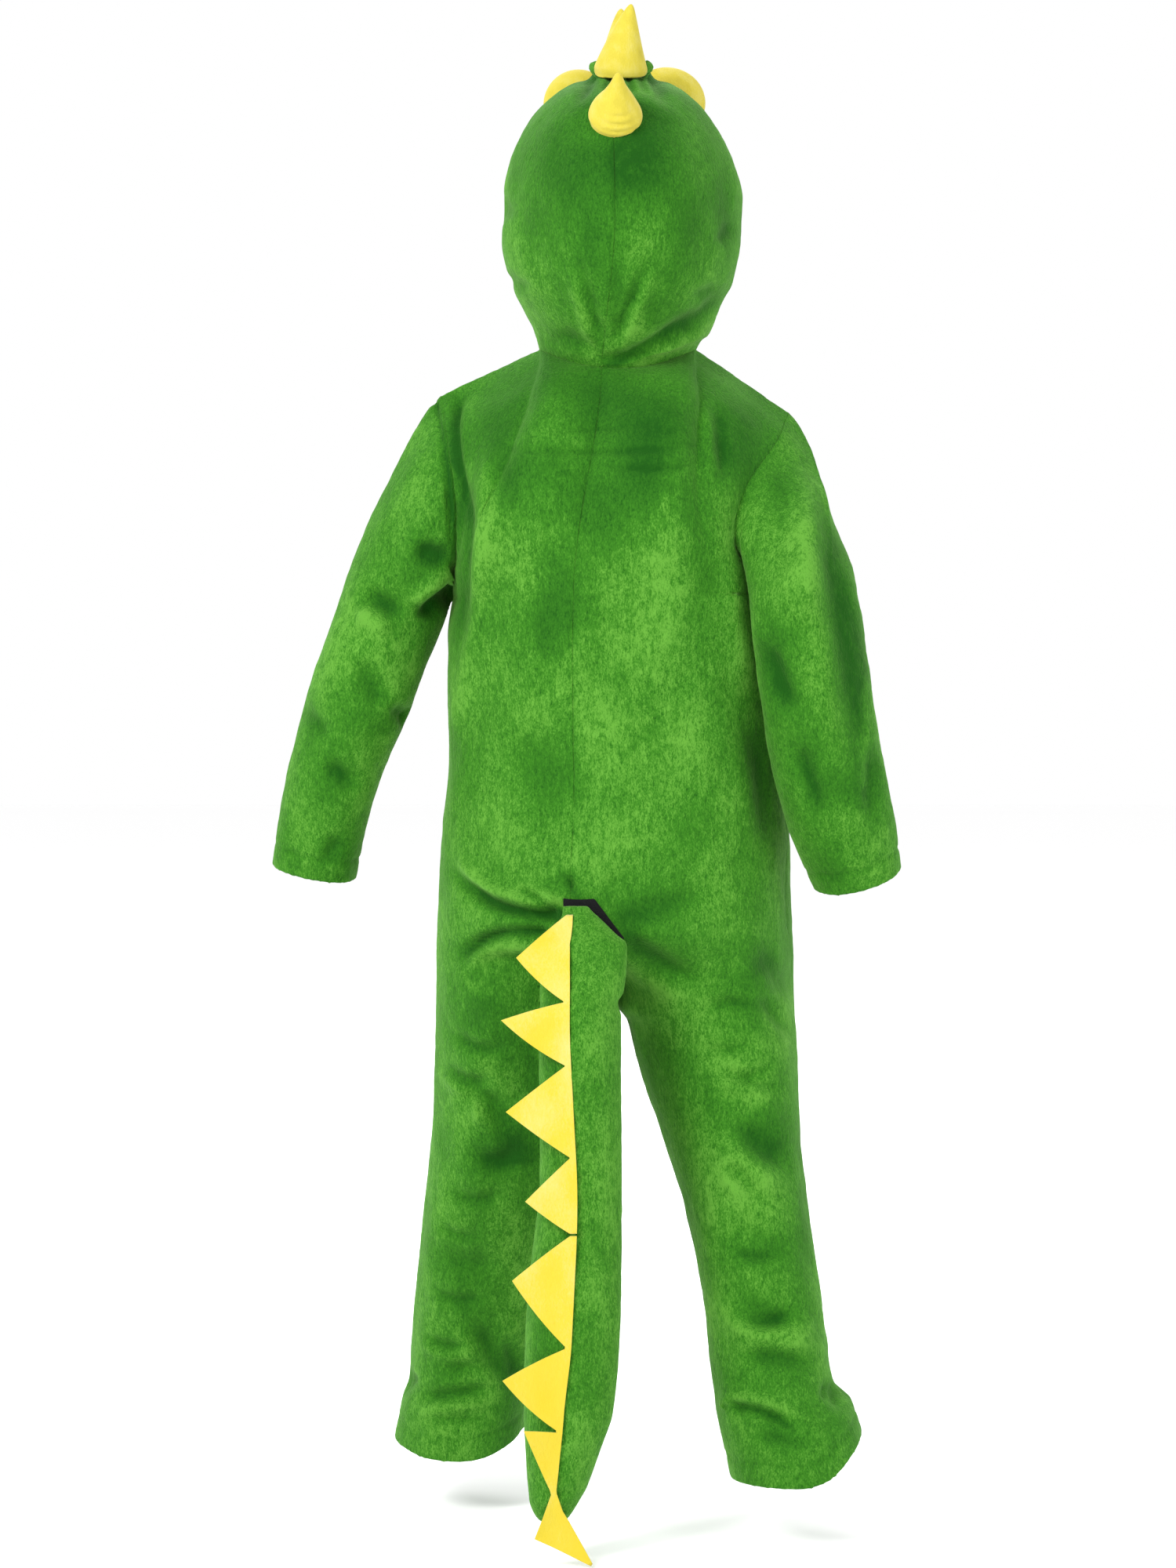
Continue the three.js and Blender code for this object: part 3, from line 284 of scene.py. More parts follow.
# Folds: three places (x, z) on the curve, its width, its depth (a ridge is below 0), which also sets the
# painted shade in its trough and the painted light on its swell or ridge, the side on which the cloth swells
# beside it (1 is left of its run, 0 is none), and 1 where it starts at full depth
FOLD_COLUMNS = "x1 z1 x2 z2 x3 z3 wide deep swell held"
FOLDS = {
    "body_back": table(
        FOLD_COLUMNS,
        # A line of painted shade along the left armhole seam, where the cloth is calm and hardly folds
        (161, -36, 148, -107, 141, -204, 3, 3.4, 0, 1),
        (129, -22, 143, -70, 119, -158, 4.5, 3.8, 0, 0),
        (111, -70, 115, -153, 132, -286, 11, -4.5, 0, 0),
        (129, -100, 131, -180, 142, -290, 9, 4, 0, 0),
        (126, -227, 132, -286, 144, -348, 10, -2.5, 0, 0),
        (113, -79, 18, -83, -91, -76, 3, 1.3, 0, 0),
        (24, -92, -30, -98, -91, -91, 2.6, 1.1, 0, 0),
        (70, -60, 20, -63, -40, -58, 2.6, 0.8, 0, 0),
        (-88, -39, -91, -75, -94, -116, 6, 1.9, 1, 0),
        (-99, -170, -105, -238, -117, -302, 11, -4, 0, 0),
        (-117, -302, -129, -375, -136, -443, 10, 2.8, 0, 0),
        (59, -129, 65, -211, 45, -293, 20, 1.2, 0, 0),
        (-44, -102, -50, -211, -30, -306, 22, -2.5, 0, 0),
        (47, -485, 112, -474, 149, -441, 6, 5, 1, 1),
        (46, -484, 65, -473, 92, -461, 4, 3, 1, 1),
        (33, -472, 40, -460, 49, -445, 4, 2.2, 0, 1),
        (10, -472, 4, -458, -5, -441, 4, 2.2, 0, 1),
        (65, -501, 112, -508, 142, -536, 6, 5, -1, 1),
        (-8, -484, -50, -474, -100, -452, 11, 2.6, 0, 1),
        (-10, -504, -44, -531, -78, -545, 10, 3.6, 1, 1),
        (99, -306, 59, -375, 31, -443, 22, 3, 0, 0),
        (150, -586, 122, -604, 92, -600, 6, 2.6, 0, 0),
        (154, -620, 130, -634, 104, -628, 6, 2.4, 1, 0),
        (150, -732, 122, -742, 96, -730, 6, 2.4, 0, 0),
        (160, -764, 140, -776, 112, -770, 5, 2, 0, 0),
        (166, -824, 140, -836, 112, -826, 6, 2.2, 0, 0),
        (176, -868, 150, -878, 124, -872, 5, 2.2, 1, 0),
        (141, -655, 114, -648, 93, -687, 9, 3.6, 1, 0),
        (134, -692, 101, -706, 88, -680, 9, 3, 0, 0),
        (170, -780, 130, -802, 95, -790, 14, 2.6, 0, 0),
        (132, -850, 107, -890, 85, -930, 9, 3.4, 1, 0),
        (160, -905, 128, -897, 96, -905, 6, 2.2, 0, 0),
        (101, -862, 87, -904, 80, -942, 6, 3.4, 0, 0),
        (194, -926, 186, -916, 180, -908, 5, 3.4, 0, 1),
        (186, -931, 142, -922, 101, -917, 6, 3, 1, 0),
        (180, -950, 140, -946, 110, -952, 5, 2, 0, 0),
        (-114, -519, -144, -541, -161, -573, 12, 3.4, 0, 0),
        (-70, -598, -95, -606, -118, -596, 5, 2.4, 0, 0),
        (-88, -618, -112, -628, -142, -616, 5, 2.6, 1, 0),
        (-100, -640, -122, -633, -148, -648, 4.5, 2.2, 0, 0),
        (-76, -574, -100, -564, -130, -574, 6, 2.4, 0, 0),
        (-122, -556, -142, -578, -158, -606, 6, 2.6, 0, 0),
        (-92, -700, -112, -716, -128, -744, 7, 2.6, 1, 0),
        (-96, -770, -120, -782, -146, -774, 5, 2.2, 0, 0),
        (-100, -826, -128, -838, -160, -824, 5.5, 2.4, 1, 0),
        (-94, -659, -131, -690, -161, -713, 14, 4.4, 1, 0),
        (-92, -745, -130, -772, -168, -758, 12, 1.8, 0, 0),
        (-97, -804, -134, -832, -171, -818, 12, 2.6, 1, 0),
        (-104, -872, -140, -866, -182, -884, 8, 3, -1, 0),
        (-100, -842, -132, -852, -168, -846, 7, 2, 0, 0),
        (-105, -911, -130, -914, -162, -930, 5, 3.4, -1, 1),
        (-112, -938, -140, -934, -172, -944, 5, 2, 0, 0),
        (-185, -890, -182, -899, -177, -906, 4, 2.4, 0, 0),
        (-188, -894, -190, -904, -193, -918, 4, 2.4, 0, 0),
    ),
    "body_front": table(
        FOLD_COLUMNS,
        (144, -62, 120, -112, 92, -150, 9, 3.2, 0, 1),
        (-144, -74, -116, -118, -88, -152, 9, 3.2, 0, 1),
        (118, -170, 126, -260, 120, -350, 13, -4, 0, 0),
        (-112, -180, -126, -270, -122, -360, 12, -4, 0, 0),
        (84, -300, 60, -360, 64, -430, 18, 3, 0, 0),
        (-86, -290, -66, -360, -70, -440, 18, 3, 0, 0),
        (30, -500, 84, -506, 146, -488, 9, 3, 1, 0),
        (-34, -502, -86, -512, -146, -494, 9, 3, -1, 0),
        (12, -566, 60, -540, 122, -548, 9, 4.4, 0, 1),
        (-12, -566, -58, -542, -120, -552, 9, 4.4, 0, 1),
        (46, -694, 96, -684, 150, -704, 9, 3, 1, 0),
        (56, -722, 100, -706, 128, -712, 7, 2.4, 0, 0),
        (104, -736, 130, -726, 158, -738, 7, 2.2, 0, 0),
        (-52, -700, -100, -684, -150, -694, 9, 3, -1, 0),
        (-66, -726, -96, -712, -122, -716, 7, 2.4, 0, 0),
        (-112, -742, -136, -730, -160, -740, 7, 2.2, 0, 0),
        (112, -760, 124, -820, 132, -874, 16, -3, 0, 0),
        (-104, -770, -128, -826, -142, -874, 16, -3, 0, 0),
        (84, -900, 130, -886, 184, -904, 8, 3.2, 1, 0),
        (88, -932, 132, -942, 184, -928, 7, 4, 0, 0),
        (-96, -886, -146, -872, -196, -890, 8, 3.2, -1, 0),
        (-112, -918, -150, -926, -198, -912, 7, 4, 0, 0),
    ),
    "sleeve_back": table(
        FOLD_COLUMNS,
        # A line of painted shade along the left armhole seam, where the cloth is calm and hardly folds
        (161, -36, 148, -107, 141, -204, 3, 3.4, 0, 1),
        (146, -205, 160, -218, 178, -232, 8, 6, 1, 1),
        (181, -164, 160, -174, 142, -179, 10, 4.4, 0, 0),
        (230, -208, 206, -216, 184, -232, 10, 4.4, 1, 0),
        (230, -262, 216, -287, 200, -308, 11, 3.8, 0, 0),
        (199, -305, 186, -320, 176, -336, 7, 4, 0, 0),
        (262, -358, 243, -368, 226, -388, 10, 4, 0, 0),
        (284, -300, 266, -322, 250, -330, 9, 2.6, 0, 0),
        (240, -420, 252, -436, 256, -452, 7, 2.2, 0, 0),
        (-160, -86, -162, -178, -132, -237, 16, -4.4, 0, 0),
        (-180, -110, -198, -240, -224, -394, 15, 3.2, 1, 0),
        (-127, -240, -140, -280, -160, -316, 11, 4.4, 0, 0),
        (-146, -58, -124, -90, -104, -118, 5, 2, 0, 1),
        (-150, -330, -166, -366, -176, -412, 9, 3.4, 0, 0),
        (-232, -330, -222, -372, -226, -420, 8, 2.6, 0, 0),
    ),
    "sleeve_front": table(
        FOLD_COLUMNS,
        (154, -100, 176, -122, 206, -118, 12, 4.4, 0, 1),
        (172, -230, 204, -250, 236, -244, 11, 4.4, 0, 0),
        (190, -288, 226, -302, 264, -288, 9, 3.4, 1, 0),
        (202, -312, 232, -326, 264, -320, 9, 4, 0, 0),
        (226, -380, 252, -394, 282, -386, 9, 3.4, 0, 0),
        (-150, -108, -174, -128, -202, -124, 12, 4.2, 0, 1),
        (-168, -240, -196, -256, -222, -248, 11, 4.4, 0, 0),
        (-166, -292, -200, -306, -232, -292, 9, 3.4, -1, 0),
        (-186, -370, -212, -384, -240, -376, 9, 3.4, 0, 0),
    ),
    "hood_back": table(
        FOLD_COLUMNS,
        (7, -6, -37, 14, -80, 50, 6, 4, 1, 1),
        (-44, 11, -78, 38, -101, 70, 6, 3.6, 1, 0),
        (4, 4, -10, 40, -30, 88, 5, 2.6, 1, 0),
        (9, 4, 22, 42, 36, 92, 5, 2.4, -1, 0),
        (9, 2, 34, 14, 62, 22, 7, 2, 0, 0),
        (2, 8, 0, 50, -4, 100, 5, 1.4, 0, 0),
        (92, 140, 86, 83, 66, 35, 13, -3, 0, 0),
        (104, 150, 98, 132, 90, 118, 6, 2.4, 0, 0),
        (96, 78, 84, 66, 72, 60, 6, 2.6, 0, 0),
        (-104, 122, -98, 108, -88, 98, 5, 2.4, 0, 0),
        (-92, 66, -80, 56, -66, 52, 5, 2.4, 0, 0),
        (-80, 172, -97, 131, -102, 90, 11, 1.4, 0, 0),
        (14, 262, 25, 244, 32, 214, 6, 3, 0, 1),
        (-24, 262, -36, 244, -44, 210, 6, 3, 0, 1),
        (3, 254, 8, 240, 9, 226, 3.5, 2, 0, 1),
        (-9, 254, -13, 240, -15, 226, 3.5, 2, 0, 1),
        (-18, 256, -24, 242, -27, 222, 3.5, 1.6, 0, 1),
    ),
    "hood_front": table(
        FOLD_COLUMNS,
        (50, 30, 74, 70, 84, 120, 9, 2.4, 0, 0),
        (-58, 30, -82, 70, -94, 120, 9, 2.4, 0, 0),
        (12, 256, 20, 246, 30, 236, 5, 1.8, 0, 1),
        (-22, 256, -32, 246, -44, 236, 5, 1.8, 0, 1),
    ),
}

# Brushed places of the pile and places of painted shade: middle (x, z), half-width, half-height, tilt towards
# the right at the top, and tone, which is above 0 where the pile is brushed to catch the light, and below 0
# where the pile is brushed down and where shade is painted into folds, beside the tail and on the tail's side
NAP_AND_SHADE_COLUMNS = "x z wide tall tilt tone"
NAP_AND_SHADE = {
    "body_back": table(
        NAP_AND_SHADE_COLUMNS,
        (-8, -50, 170, 88, 0, -0.62),
        (0, -350, 120, 110, 0, 0.14),
        (-100, -700, 50, 190, 8, 0.25),
        (110, -780, 60, 150, 0, 0.2),
        (55, -54, 27, 37, 0, 0.25),
        (144, -114, 11, 31, 10, 0.35),
        (-48, -112, 23, 34, 5, 0.45),
        (-44, -170, 20, 48, 5, 0.4),
        (-25, -238, 34, 48, 12, 0.4),
        (18, -293, 41, 61, 10, 0.4),
        (-59, -279, 27, 61, 0, 0.3),
        (74, -170, 18, 48, 0, 0.35),
        (86, -245, 19, 41, 0, 0.35),
        (99, -375, 34, 48, -10, 0.35),
        (-44, -364, 41, 48, 20, 0.3),
        (16, -415, 41, 34, 0, 0.35),
        (-78, -429, 41, 34, 0, 0.2),
        (-105, -347, 14, 54, 0, 0.25),
        (-8, -38, 54, 41, 0, -0.12),
        (30, -160, 44, 56, 0, -0.3),
        (125, -146, 10, 54, 5, -0.35),
        (125, -238, 10, 68, 0, -0.25),
        (-64, -184, 18, 54, 0, -0.36),
        (62, -211, 20, 48, 0, -0.3),
        (45, -327, 18, 41, 0, -0.2),
        (127, -334, 16, 41, 0, -0.2),
        (79, -95, 41, 14, 0, -0.15),
        (-64, -64, 34, 27, 0, -0.2),
        (-85, -327, 14, 41, 0, -0.25),
        (59, -456, 34, 8, -18, -0.3),
        (138, -493, 20, 15, -20, 0.4),
        (94, -511, 34, 7, -20, 0.4),
        (135, -545, 18, 20, 0, 0.35),
        (134, -664, 20, 20, 20, 0.4),
        (151, -760, 20, 48, 0, 0.25),
        (101, -864, 20, 41, 20, 0.25),
        (184, -916, 12, 14, 0, 0.35),
        (156, -954, 34, 15, 0, 0.25),
        # Painted shade in the folds by the seat tape and beside the tail, where the tail shades the left leg
        (115, -526, 27, 12, -20, -0.4),
        (125, -569, 23, 20, 0, -0.5),
        (90, -608, 15, 27, 0, -0.5),
        (75, -560, 9, 24, 0, -0.5),
        (74, -625, 8, 25, 0, -0.5),
        (84, -690, 16, 24, -8, -0.55),
        (78, -760, 10, 30, 0, -0.35),
        (101, -694, 24, 27, 0, -0.5),
        (128, -718, 20, 20, 0, -0.3),
        (115, -840, 23, 34, 0, -0.35),
        (128, -795, 16, 34, 0, -0.2),
        (156, -895, 15, 20, 0, -0.25),
        (90, -926, 11, 27, 15, -0.3),
        (-16, -517, 20, 20, 0, 0.35),
        (-38, -575, 24, 20, 0, 0.35),
        (-91, -612, 24, 11, 20, 0.4),
        (-149, -592, 18, 27, 0, 0.35),
        (-115, -643, 20, 10, -20, 0.35),
        (-64, -674, 20, 34, 20, 0.3),
        (-88, -742, 20, 34, 0, 0.3),
        (-135, -800, 24, 15, 0, 0.4),
        (-112, -851, 20, 20, 0, 0.3),
        (-152, -895, 27, 14, 0, 0.35),
        (-135, -960, 34, 11, 0, 0.25),
        (-78, -541, 27, 8, -20, 0.25),
        (-115, -529, 41, 19, -15, -0.45),
        (-133, -677, 30, 31, 0, -0.55),
        (-98, -653, 15, 12, 0, -0.3),
        (-170, -755, 8, 41, 5, -0.35),
        (-112, -783, 18, 11, 0, -0.3),
        (-142, -840, 20, 10, 0, -0.3),
        (-188, -934, 11, 15, 0, -0.35),
        (-135, -924, 31, 7, -15, -0.3),
        (-37, -626, 14, 16, 0, -0.2),
        (-101, -892, 14, 20, 0, -0.2),
    ),
    "body_front": table(
        NAP_AND_SHADE_COLUMNS,
        (60, -110, 40, 60, 8, 0.35),
        (-70, -220, 34, 70, -6, 0.4),
        (40, -300, 36, 60, 10, 0.35),
        (-30, -420, 44, 40, 0, 0.3),
        (100, -600, 26, 50, 0, 0.3),
        (-110, -620, 26, 44, 10, 0.35),
        (130, -820, 20, 60, 0, 0.3),
        (-130, -830, 22, 54, 0, 0.3),
        (-40, -100, 40, 50, 0, -0.3),
        (100, -220, 24, 60, 0, -0.35),
        (0, -220, 26, 50, 0, -0.25),
        (90, -430, 36, 30, 0, -0.3),
        (-110, -500, 34, 24, -10, -0.4),
        (90, -720, 34, 26, 0, -0.4),
        (-110, -730, 34, 24, 0, -0.4),
        (130, -920, 36, 16, 0, -0.3),
        (-140, -905, 36, 16, 0, -0.3),
    ),
    "sleeve_back": table(
        NAP_AND_SHADE_COLUMNS,
        (225, -280, 60, 150, -15, 0.32),
        (-180, -250, 56, 210, 8, -0.3),
        (174, -70, 18, 41, -10, 0.35),
        (191, -115, 15, 34, -15, 0.3),
        (229, -220, 12, 16, -10, 0.4),
        (190, -288, 14, 27, -15, 0.35),
        (254, -303, 12, 34, -10, 0.35),
        (212, -352, 18, 20, 0, 0.25),
        (268, -414, 15, 27, 0, 0.3),
        (285, -380, 8, 41, 0, 0.2),
        (157, -171, 20, 12, 20, -0.35),
        (205, -230, 27, 14, 25, -0.35),
        (213, -307, 18, 14, 20, -0.4),
        (198, -320, 10, 14, 0, -0.3),
        (245, -380, 23, 15, 10, -0.4),
        (240, -442, 20, 20, 0, -0.2),
        (212, -164, 14, 20, 0, -0.2),
        (-124, -129, 16, 34, 0, 0.25),
        (-151, -146, 10, 54, 0, 0.25),
        (-146, -279, 16, 27, 0, 0.2),
        (-118, -211, 8, 41, 10, 0.25),
        (-226, -292, 10, 82, 8, 0.3),
        (-204, -408, 23, 27, 0, 0.35),
        (-221, -347, 10, 34, 0, 0.2),
        (-152, -361, 12, 41, -10, 0.25),
        (-112, -194, 14, 27, 20, -0.45),
        (-177, -163, 12, 61, 0, -0.4),
        (-193, -238, 12, 54, 5, -0.25),
        (-210, -333, 10, 54, 5, -0.4),
        (-192, -381, 20, 18, 0, -0.45),
        (-135, -258, 12, 27, 0, -0.3),
        (-152, -102, 11, 27, 30, -0.3),
        (-173, -306, 12, 41, 0, -0.2),
    ),
    "sleeve_front": table(
        NAP_AND_SHADE_COLUMNS,
        (190, -140, 18, 40, -15, 0.35),
        (235, -270, 16, 34, -10, 0.35),
        (262, -400, 16, 34, 0, 0.3),
        (-176, -150, 18, 44, 10, 0.35),
        (-200, -300, 16, 44, 8, 0.35),
        (-214, -410, 16, 30, 0, 0.3),
        (215, -200, 22, 18, 10, -0.4),
        (236, -320, 26, 14, 0, -0.45),
        (-190, -230, 24, 18, 0, -0.4),
        (-200, -350, 24, 16, 0, -0.4),
    ),
    "hood_back": table(
        NAP_AND_SHADE_COLUMNS,
        (-5, 165, 100, 85, 0, -0.6),
        (6, 14, 27, 20, 0, 0.3),
        (63, 25, 16, 20, -20, 0.45),
        (-47, 21, 27, 10, 30, 0.35),
        (-86, 161, 11, 34, 10, 0.3),
        (-81, 83, 16, 27, 0, 0.3),
        (83, 141, 14, 27, 0, 0.25),
        (62, 69, 14, 34, 0, 0.25),
        (28, 35, 12, 34, -12, 0.3),
        (-20, 42, 8, 34, 15, 0.3),
        (-75, 38, 20, 10, 35, 0.35),
        (-14, 172, 48, 41, 0, -0.35),
        (45, 172, 27, 34, 0, -0.2),
        (18, 83, 11, 41, -8, -0.25),
        (-29, 57, 8, 34, 18, -0.3),
        (-44, 25, 34, 7, 32, -0.4),
        (-64, 110, 16, 34, 0, -0.15),
        (7, 226, 41, 15, 0, -0.35),
        (45, 21, 14, 14, 0, -0.2),
    ),
    "hood_front": table(
        NAP_AND_SHADE_COLUMNS,
        (80, 120, 18, 40, 0, 0.3),
        (-88, 110, 18, 40, 0, 0.3),
        (40, 225, 30, 14, 0, 0.2),
        (-50, 225, 30, 14, 0, -0.2),
        (70, 50, 16, 24, 0, -0.3),
        (-76, 50, 16, 24, 0, -0.3),
    ),
    "tail": table(
        NAP_AND_SHADE_COLUMNS,
        (10, -560, 14, 40, 0, 0.25),
        (10, -700, 12, 50, 0, 0.25),
        (18, -800, 14, 26, 0, 0.2),
        (30, -930, 12, 30, 0, 0.25),
        # Painted shade in the tail's pinches
        (12, -755, 18, 6, 0, -0.15),
        (14, -790, 14, 6, -20, -0.15),
        (10, -630, 14, 16, 0, -0.2),
        (30, -860, 16, 34, 0, -0.2),
        # Painted shade on the tail's left side beside the plates
        (52, -600, 10, 60, 0, -0.3),
        (60, -860, 10, 60, 0, -0.25),
    ),
}


def step(low, high, value):
    """Rises smoothly from 0 at low to 1 at high: 3 t squared minus 2 t cubed of the share t between them."""
    t = np.clip((value - low) / (high - low), 0, 1)
    return t * t * (3 - 2 * t)


def bell(value, width):
    """A bell of height 1 round 0: e to the power of -(value / width) squared."""
    return np.exp(-((value / width) ** 2))


def rounded(distance, radius):
    """A rounded edge: a quarter circle that rises from 0 at the edge to 1 at its radius."""
    return np.sqrt(1 - (1 - np.clip(distance / radius, 0, 1)) ** 2)


def boxy(value):
    """A sine or cosine to a power under 1 with its sign kept, so that an ellipse becomes a rounded box."""
    return np.sign(value) * np.abs(value) ** BOXINESS


def hermite(a, ta, b, tb, t):
    """Cubic from a to b with tangents ta and tb."""
    t2 = t * t
    t3 = t2 * t
    return (2 * t3 - 3 * t2 + 1) * a + (t3 - 2 * t2 + t) * ta + (3 * t2 - 2 * t3) * b + (t3 - t2) * tb


def place(x, y, z):
    """Points from their three coordinates."""
    return np.stack(np.broadcast_arrays(x, y, z), axis=-1).astype(float)


def unit(vectors):
    """Vectors of length 1."""
    return vectors / np.maximum(np.linalg.norm(vectors, axis=-1, keepdims=True), 1e-9)


def column(rows, name, value, by="z"):
    """Smooth curve through one column of a table that never overshoots its rows (monotone cubic)."""
    s = rows[by]
    f = rows[name]
    value = np.asarray(value, float)
    if s[-1] < s[0]:
        s = -s
        value = -value
    x = np.clip(value, s[0], s[-1])
    gap = np.diff(s)
    slope = np.diff(f) / gap
    before, after = slope[:-1], slope[1:]
    total = np.where(before + after == 0, 1, before + after)
    inner = np.where(before * after > 0, 2 * before * after / total, 0)
    tangent = np.concatenate([slope[:1], inner, slope[-1:]])
    i = np.clip(np.searchsorted(s, x, side="right") - 1, 0, len(gap) - 1)
    t = (x - s[i]) / gap[i]
    return hermite(f[i], tangent[i] * gap[i], f[i + 1], tangent[i + 1] * gap[i], t)


def through(corners, t):
    """Point at the share t of a smooth curve through a few corners (Catmull-Rom)."""
    p = np.array(corners, float)
    p = np.vstack([2 * p[0] - p[1], p, 2 * p[-1] - p[-2]])
    last = len(corners) - 1
    i = np.clip(np.floor(t * last).astype(int), 0, last - 1)
    w = (t * last - i)[..., None]
    return hermite(p[i + 1], (p[i + 2] - p[i]) / 2, p[i + 2], (p[i + 3] - p[i + 1]) / 2, w)


def neck_point(angle):
    """Neckline at an angle from straight back towards the left.

    It is an ellipse across and in depth. Its height goes from the sides' to the back's or front's
    with the square of the angle's cosine.
    """
    c = np.cos(angle)
    end = np.where(c > 0, NECK.back, NECK.front)
    height = NECK.sides + (end - NECK.sides) * c * c
    return place(NECK.x + NECK.half * np.sin(angle), NECK.deep * c, height)


def torso_point(side, face, u, z):
    """Torso section at a height, where u runs from the centre seam to the side seam.

    It is a rounded box: width times the boxy sine and depth times the boxy cosine of an angle that
    starts at the seam's turn and reaches the side at u = 1.
    """
    turn = np.radians(column(TORSO, "turn", z))
    angle = turn + side * u * QUARTER if face > 0 else math.pi + turn - side * u * QUARTER
    width = np.where(np.sin(angle) > 0, column(TORSO, "left", z), column(TORSO, "right", z))
    depth = np.where(np.cos(angle) > 0, column(TORSO, "back", z), column(TORSO, "front", z))
    return place(width * boxy(np.sin(angle)), depth * boxy(np.cos(angle)), z)


def leg_point(side, face, u, z):
    """Leg section at a height, where u runs from the inseam to the outer side seam.

    It is a rounded box between the inner and the outer side: half its width times the boxy sine,
    and its half-depth times the boxy cosine, of an angle from -90 to 90 degrees.
    """
    angle = (2 * u - 1) * QUARTER
    inner = column(LEG[side], "inner", z)
    outer = column(LEG[side], "outer", z)
    across = (inner + outer) / 2 + (outer - inner) / 2 * boxy(np.sin(angle))
    depth = column(LEG[side], "deep", z) * boxy(np.maximum(0, np.cos(angle)))
    return place(side * across, column(LEG[side], "y", z) + face * depth, z)


def hem_height(side, face, u):
    """Height of the trouser hem, where u runs from the inseam over the back or front to the outer side.

    It goes from the middle's height to an end's with the square of the sine.
    """
    hem = HEM[side]
    s = np.sin((2 * u - 1) * QUARTER)
    middle = hem.back if face > 0 else hem.front
    return middle + (np.where(s > 0, hem.outer, hem.inner) - middle) * s * s


def lower_point(side, face, u, z):
    """Body below the underarm.

    The torso's section turns into the leg's from the seat fold to the crotch as a smooth share of both,
    and the last rows are spread down or up until the end row lies on the hem.
    """
    leg = (1 - step(CROTCH, SEAT_FOLD, z))[..., None]
    point = torso_point(side, face, u, np.maximum(z, CROTCH)) * (1 - leg) + leg_point(side, face, u, z) * leg
    spread = np.maximum(0, (HEM_START - z) / (HEM_START - HEM_ROW))
    point[..., 2] = z + spread * (hem_height(side, face, u) - HEM_ROW)
    return point


def top_point(side, face, u):
    """Top edge of a body panel: the neckline, then the straight shoulder seam, each by its share of u."""
    turn = math.radians(NECK.turn)
    start = turn if face > 0 else math.pi + turn
    ear = side * QUARTER if face > 0 or side > 0 else 3 * QUARTER
    neck = neck_point(start + (ear - start) * np.minimum(1, u / NECK_SHARE))
    shoulder = np.array(ARMHOLE[side, 1][0], float)
    share = np.clip((u - NECK_SHARE) / (1 - NECK_SHARE), 0, 1)[..., None]
    return neck + (shoulder - neck_point(np.array(side * QUARTER))) * share


# Pulls of the lines of a body panel: outwards at the top edge and how much more in its middle, down at the
# top edge and how much more at the centre seam, and down at the underarm
PULL = SimpleNamespace(out=130, more_out=170, down=60, more_down=80, under=185)


def upper_point(side, face, u, t):
    """Body above the underarm, where t runs from the top edge down to the underarm.

    Each line is a cubic from the top edge to the torso's first section. It leaves backwards or forwards,
    more so in the middle of the panel, and arrives straight down. Then the outer edge is drawn on to
    the armhole, in width with the sine of u and in depth and height with its square.
    """
    def surface(v):
        out = PULL.out + PULL.more_out * np.sin(v * math.pi)
        leave = place(0, face * out, -PULL.down - PULL.more_down * np.cos(v * QUARTER))
        arrive = place(0, 0, -PULL.under + 0 * v)
        end = torso_point(side, face, v, UNDERARM + 0 * v)
        return hermite(top_point(side, face, v), leave, end, arrive, t[..., None])

    edge = surface(np.ones_like(u))
    armhole = through(ARMHOLE[side, face], t)
    point = surface(u)
    point[..., 0] *= 1 + (armhole[..., 0] / edge[..., 0] - 1) * np.sin(u * QUARTER)
    point[..., 1] += (armhole[..., 1] - edge[..., 1]) * u * u
    point[..., 2] += (armhole[..., 2] - edge[..., 2]) * u * u
    return point


def sleeve_ring(side, z, share):
    """Free ring of a sleeve at a height, and the sleeve's run there.

    The ring is an ellipse square to the run, with its long axis turned. Its radius is the product of its
    half-axes over the root of the sum of their squares by cosine and sine.
    """
    rows = SLEEVE[side]
    reach = 8

    def middle(h):
        return place(column(rows, "x", h), column(rows, "y", h), h)

    angle = share * 2 * math.pi + np.radians(column(rows, "roll", z))
    run = unit(middle(np.maximum(z - reach, SLEEVE_END)) - middle(np.minimum(z + reach, SLEEVE_TOP)))
    out = unit(place(side, 0, 0) - side * run * run[..., :1])
    back = np.cross(out, run) * side
    wide = column(rows, "wide", z)
    deep = column(rows, "deep", z)
    own = angle - np.radians(column(rows, "turn", z))
    radius = (wide * deep / np.hypot(deep * np.cos(own), wide * np.sin(own)))[..., None]
    return middle(z) + radius * (out * np.cos(angle)[..., None] + back * np.sin(angle)[..., None]), run


# Sleeve head: how far its lines leave the armhole aside, apart in depth and down, and their pull by length
HEAD = SimpleNamespace(aside=0.6, spread=0.5, down=0.72, pull=0.9)


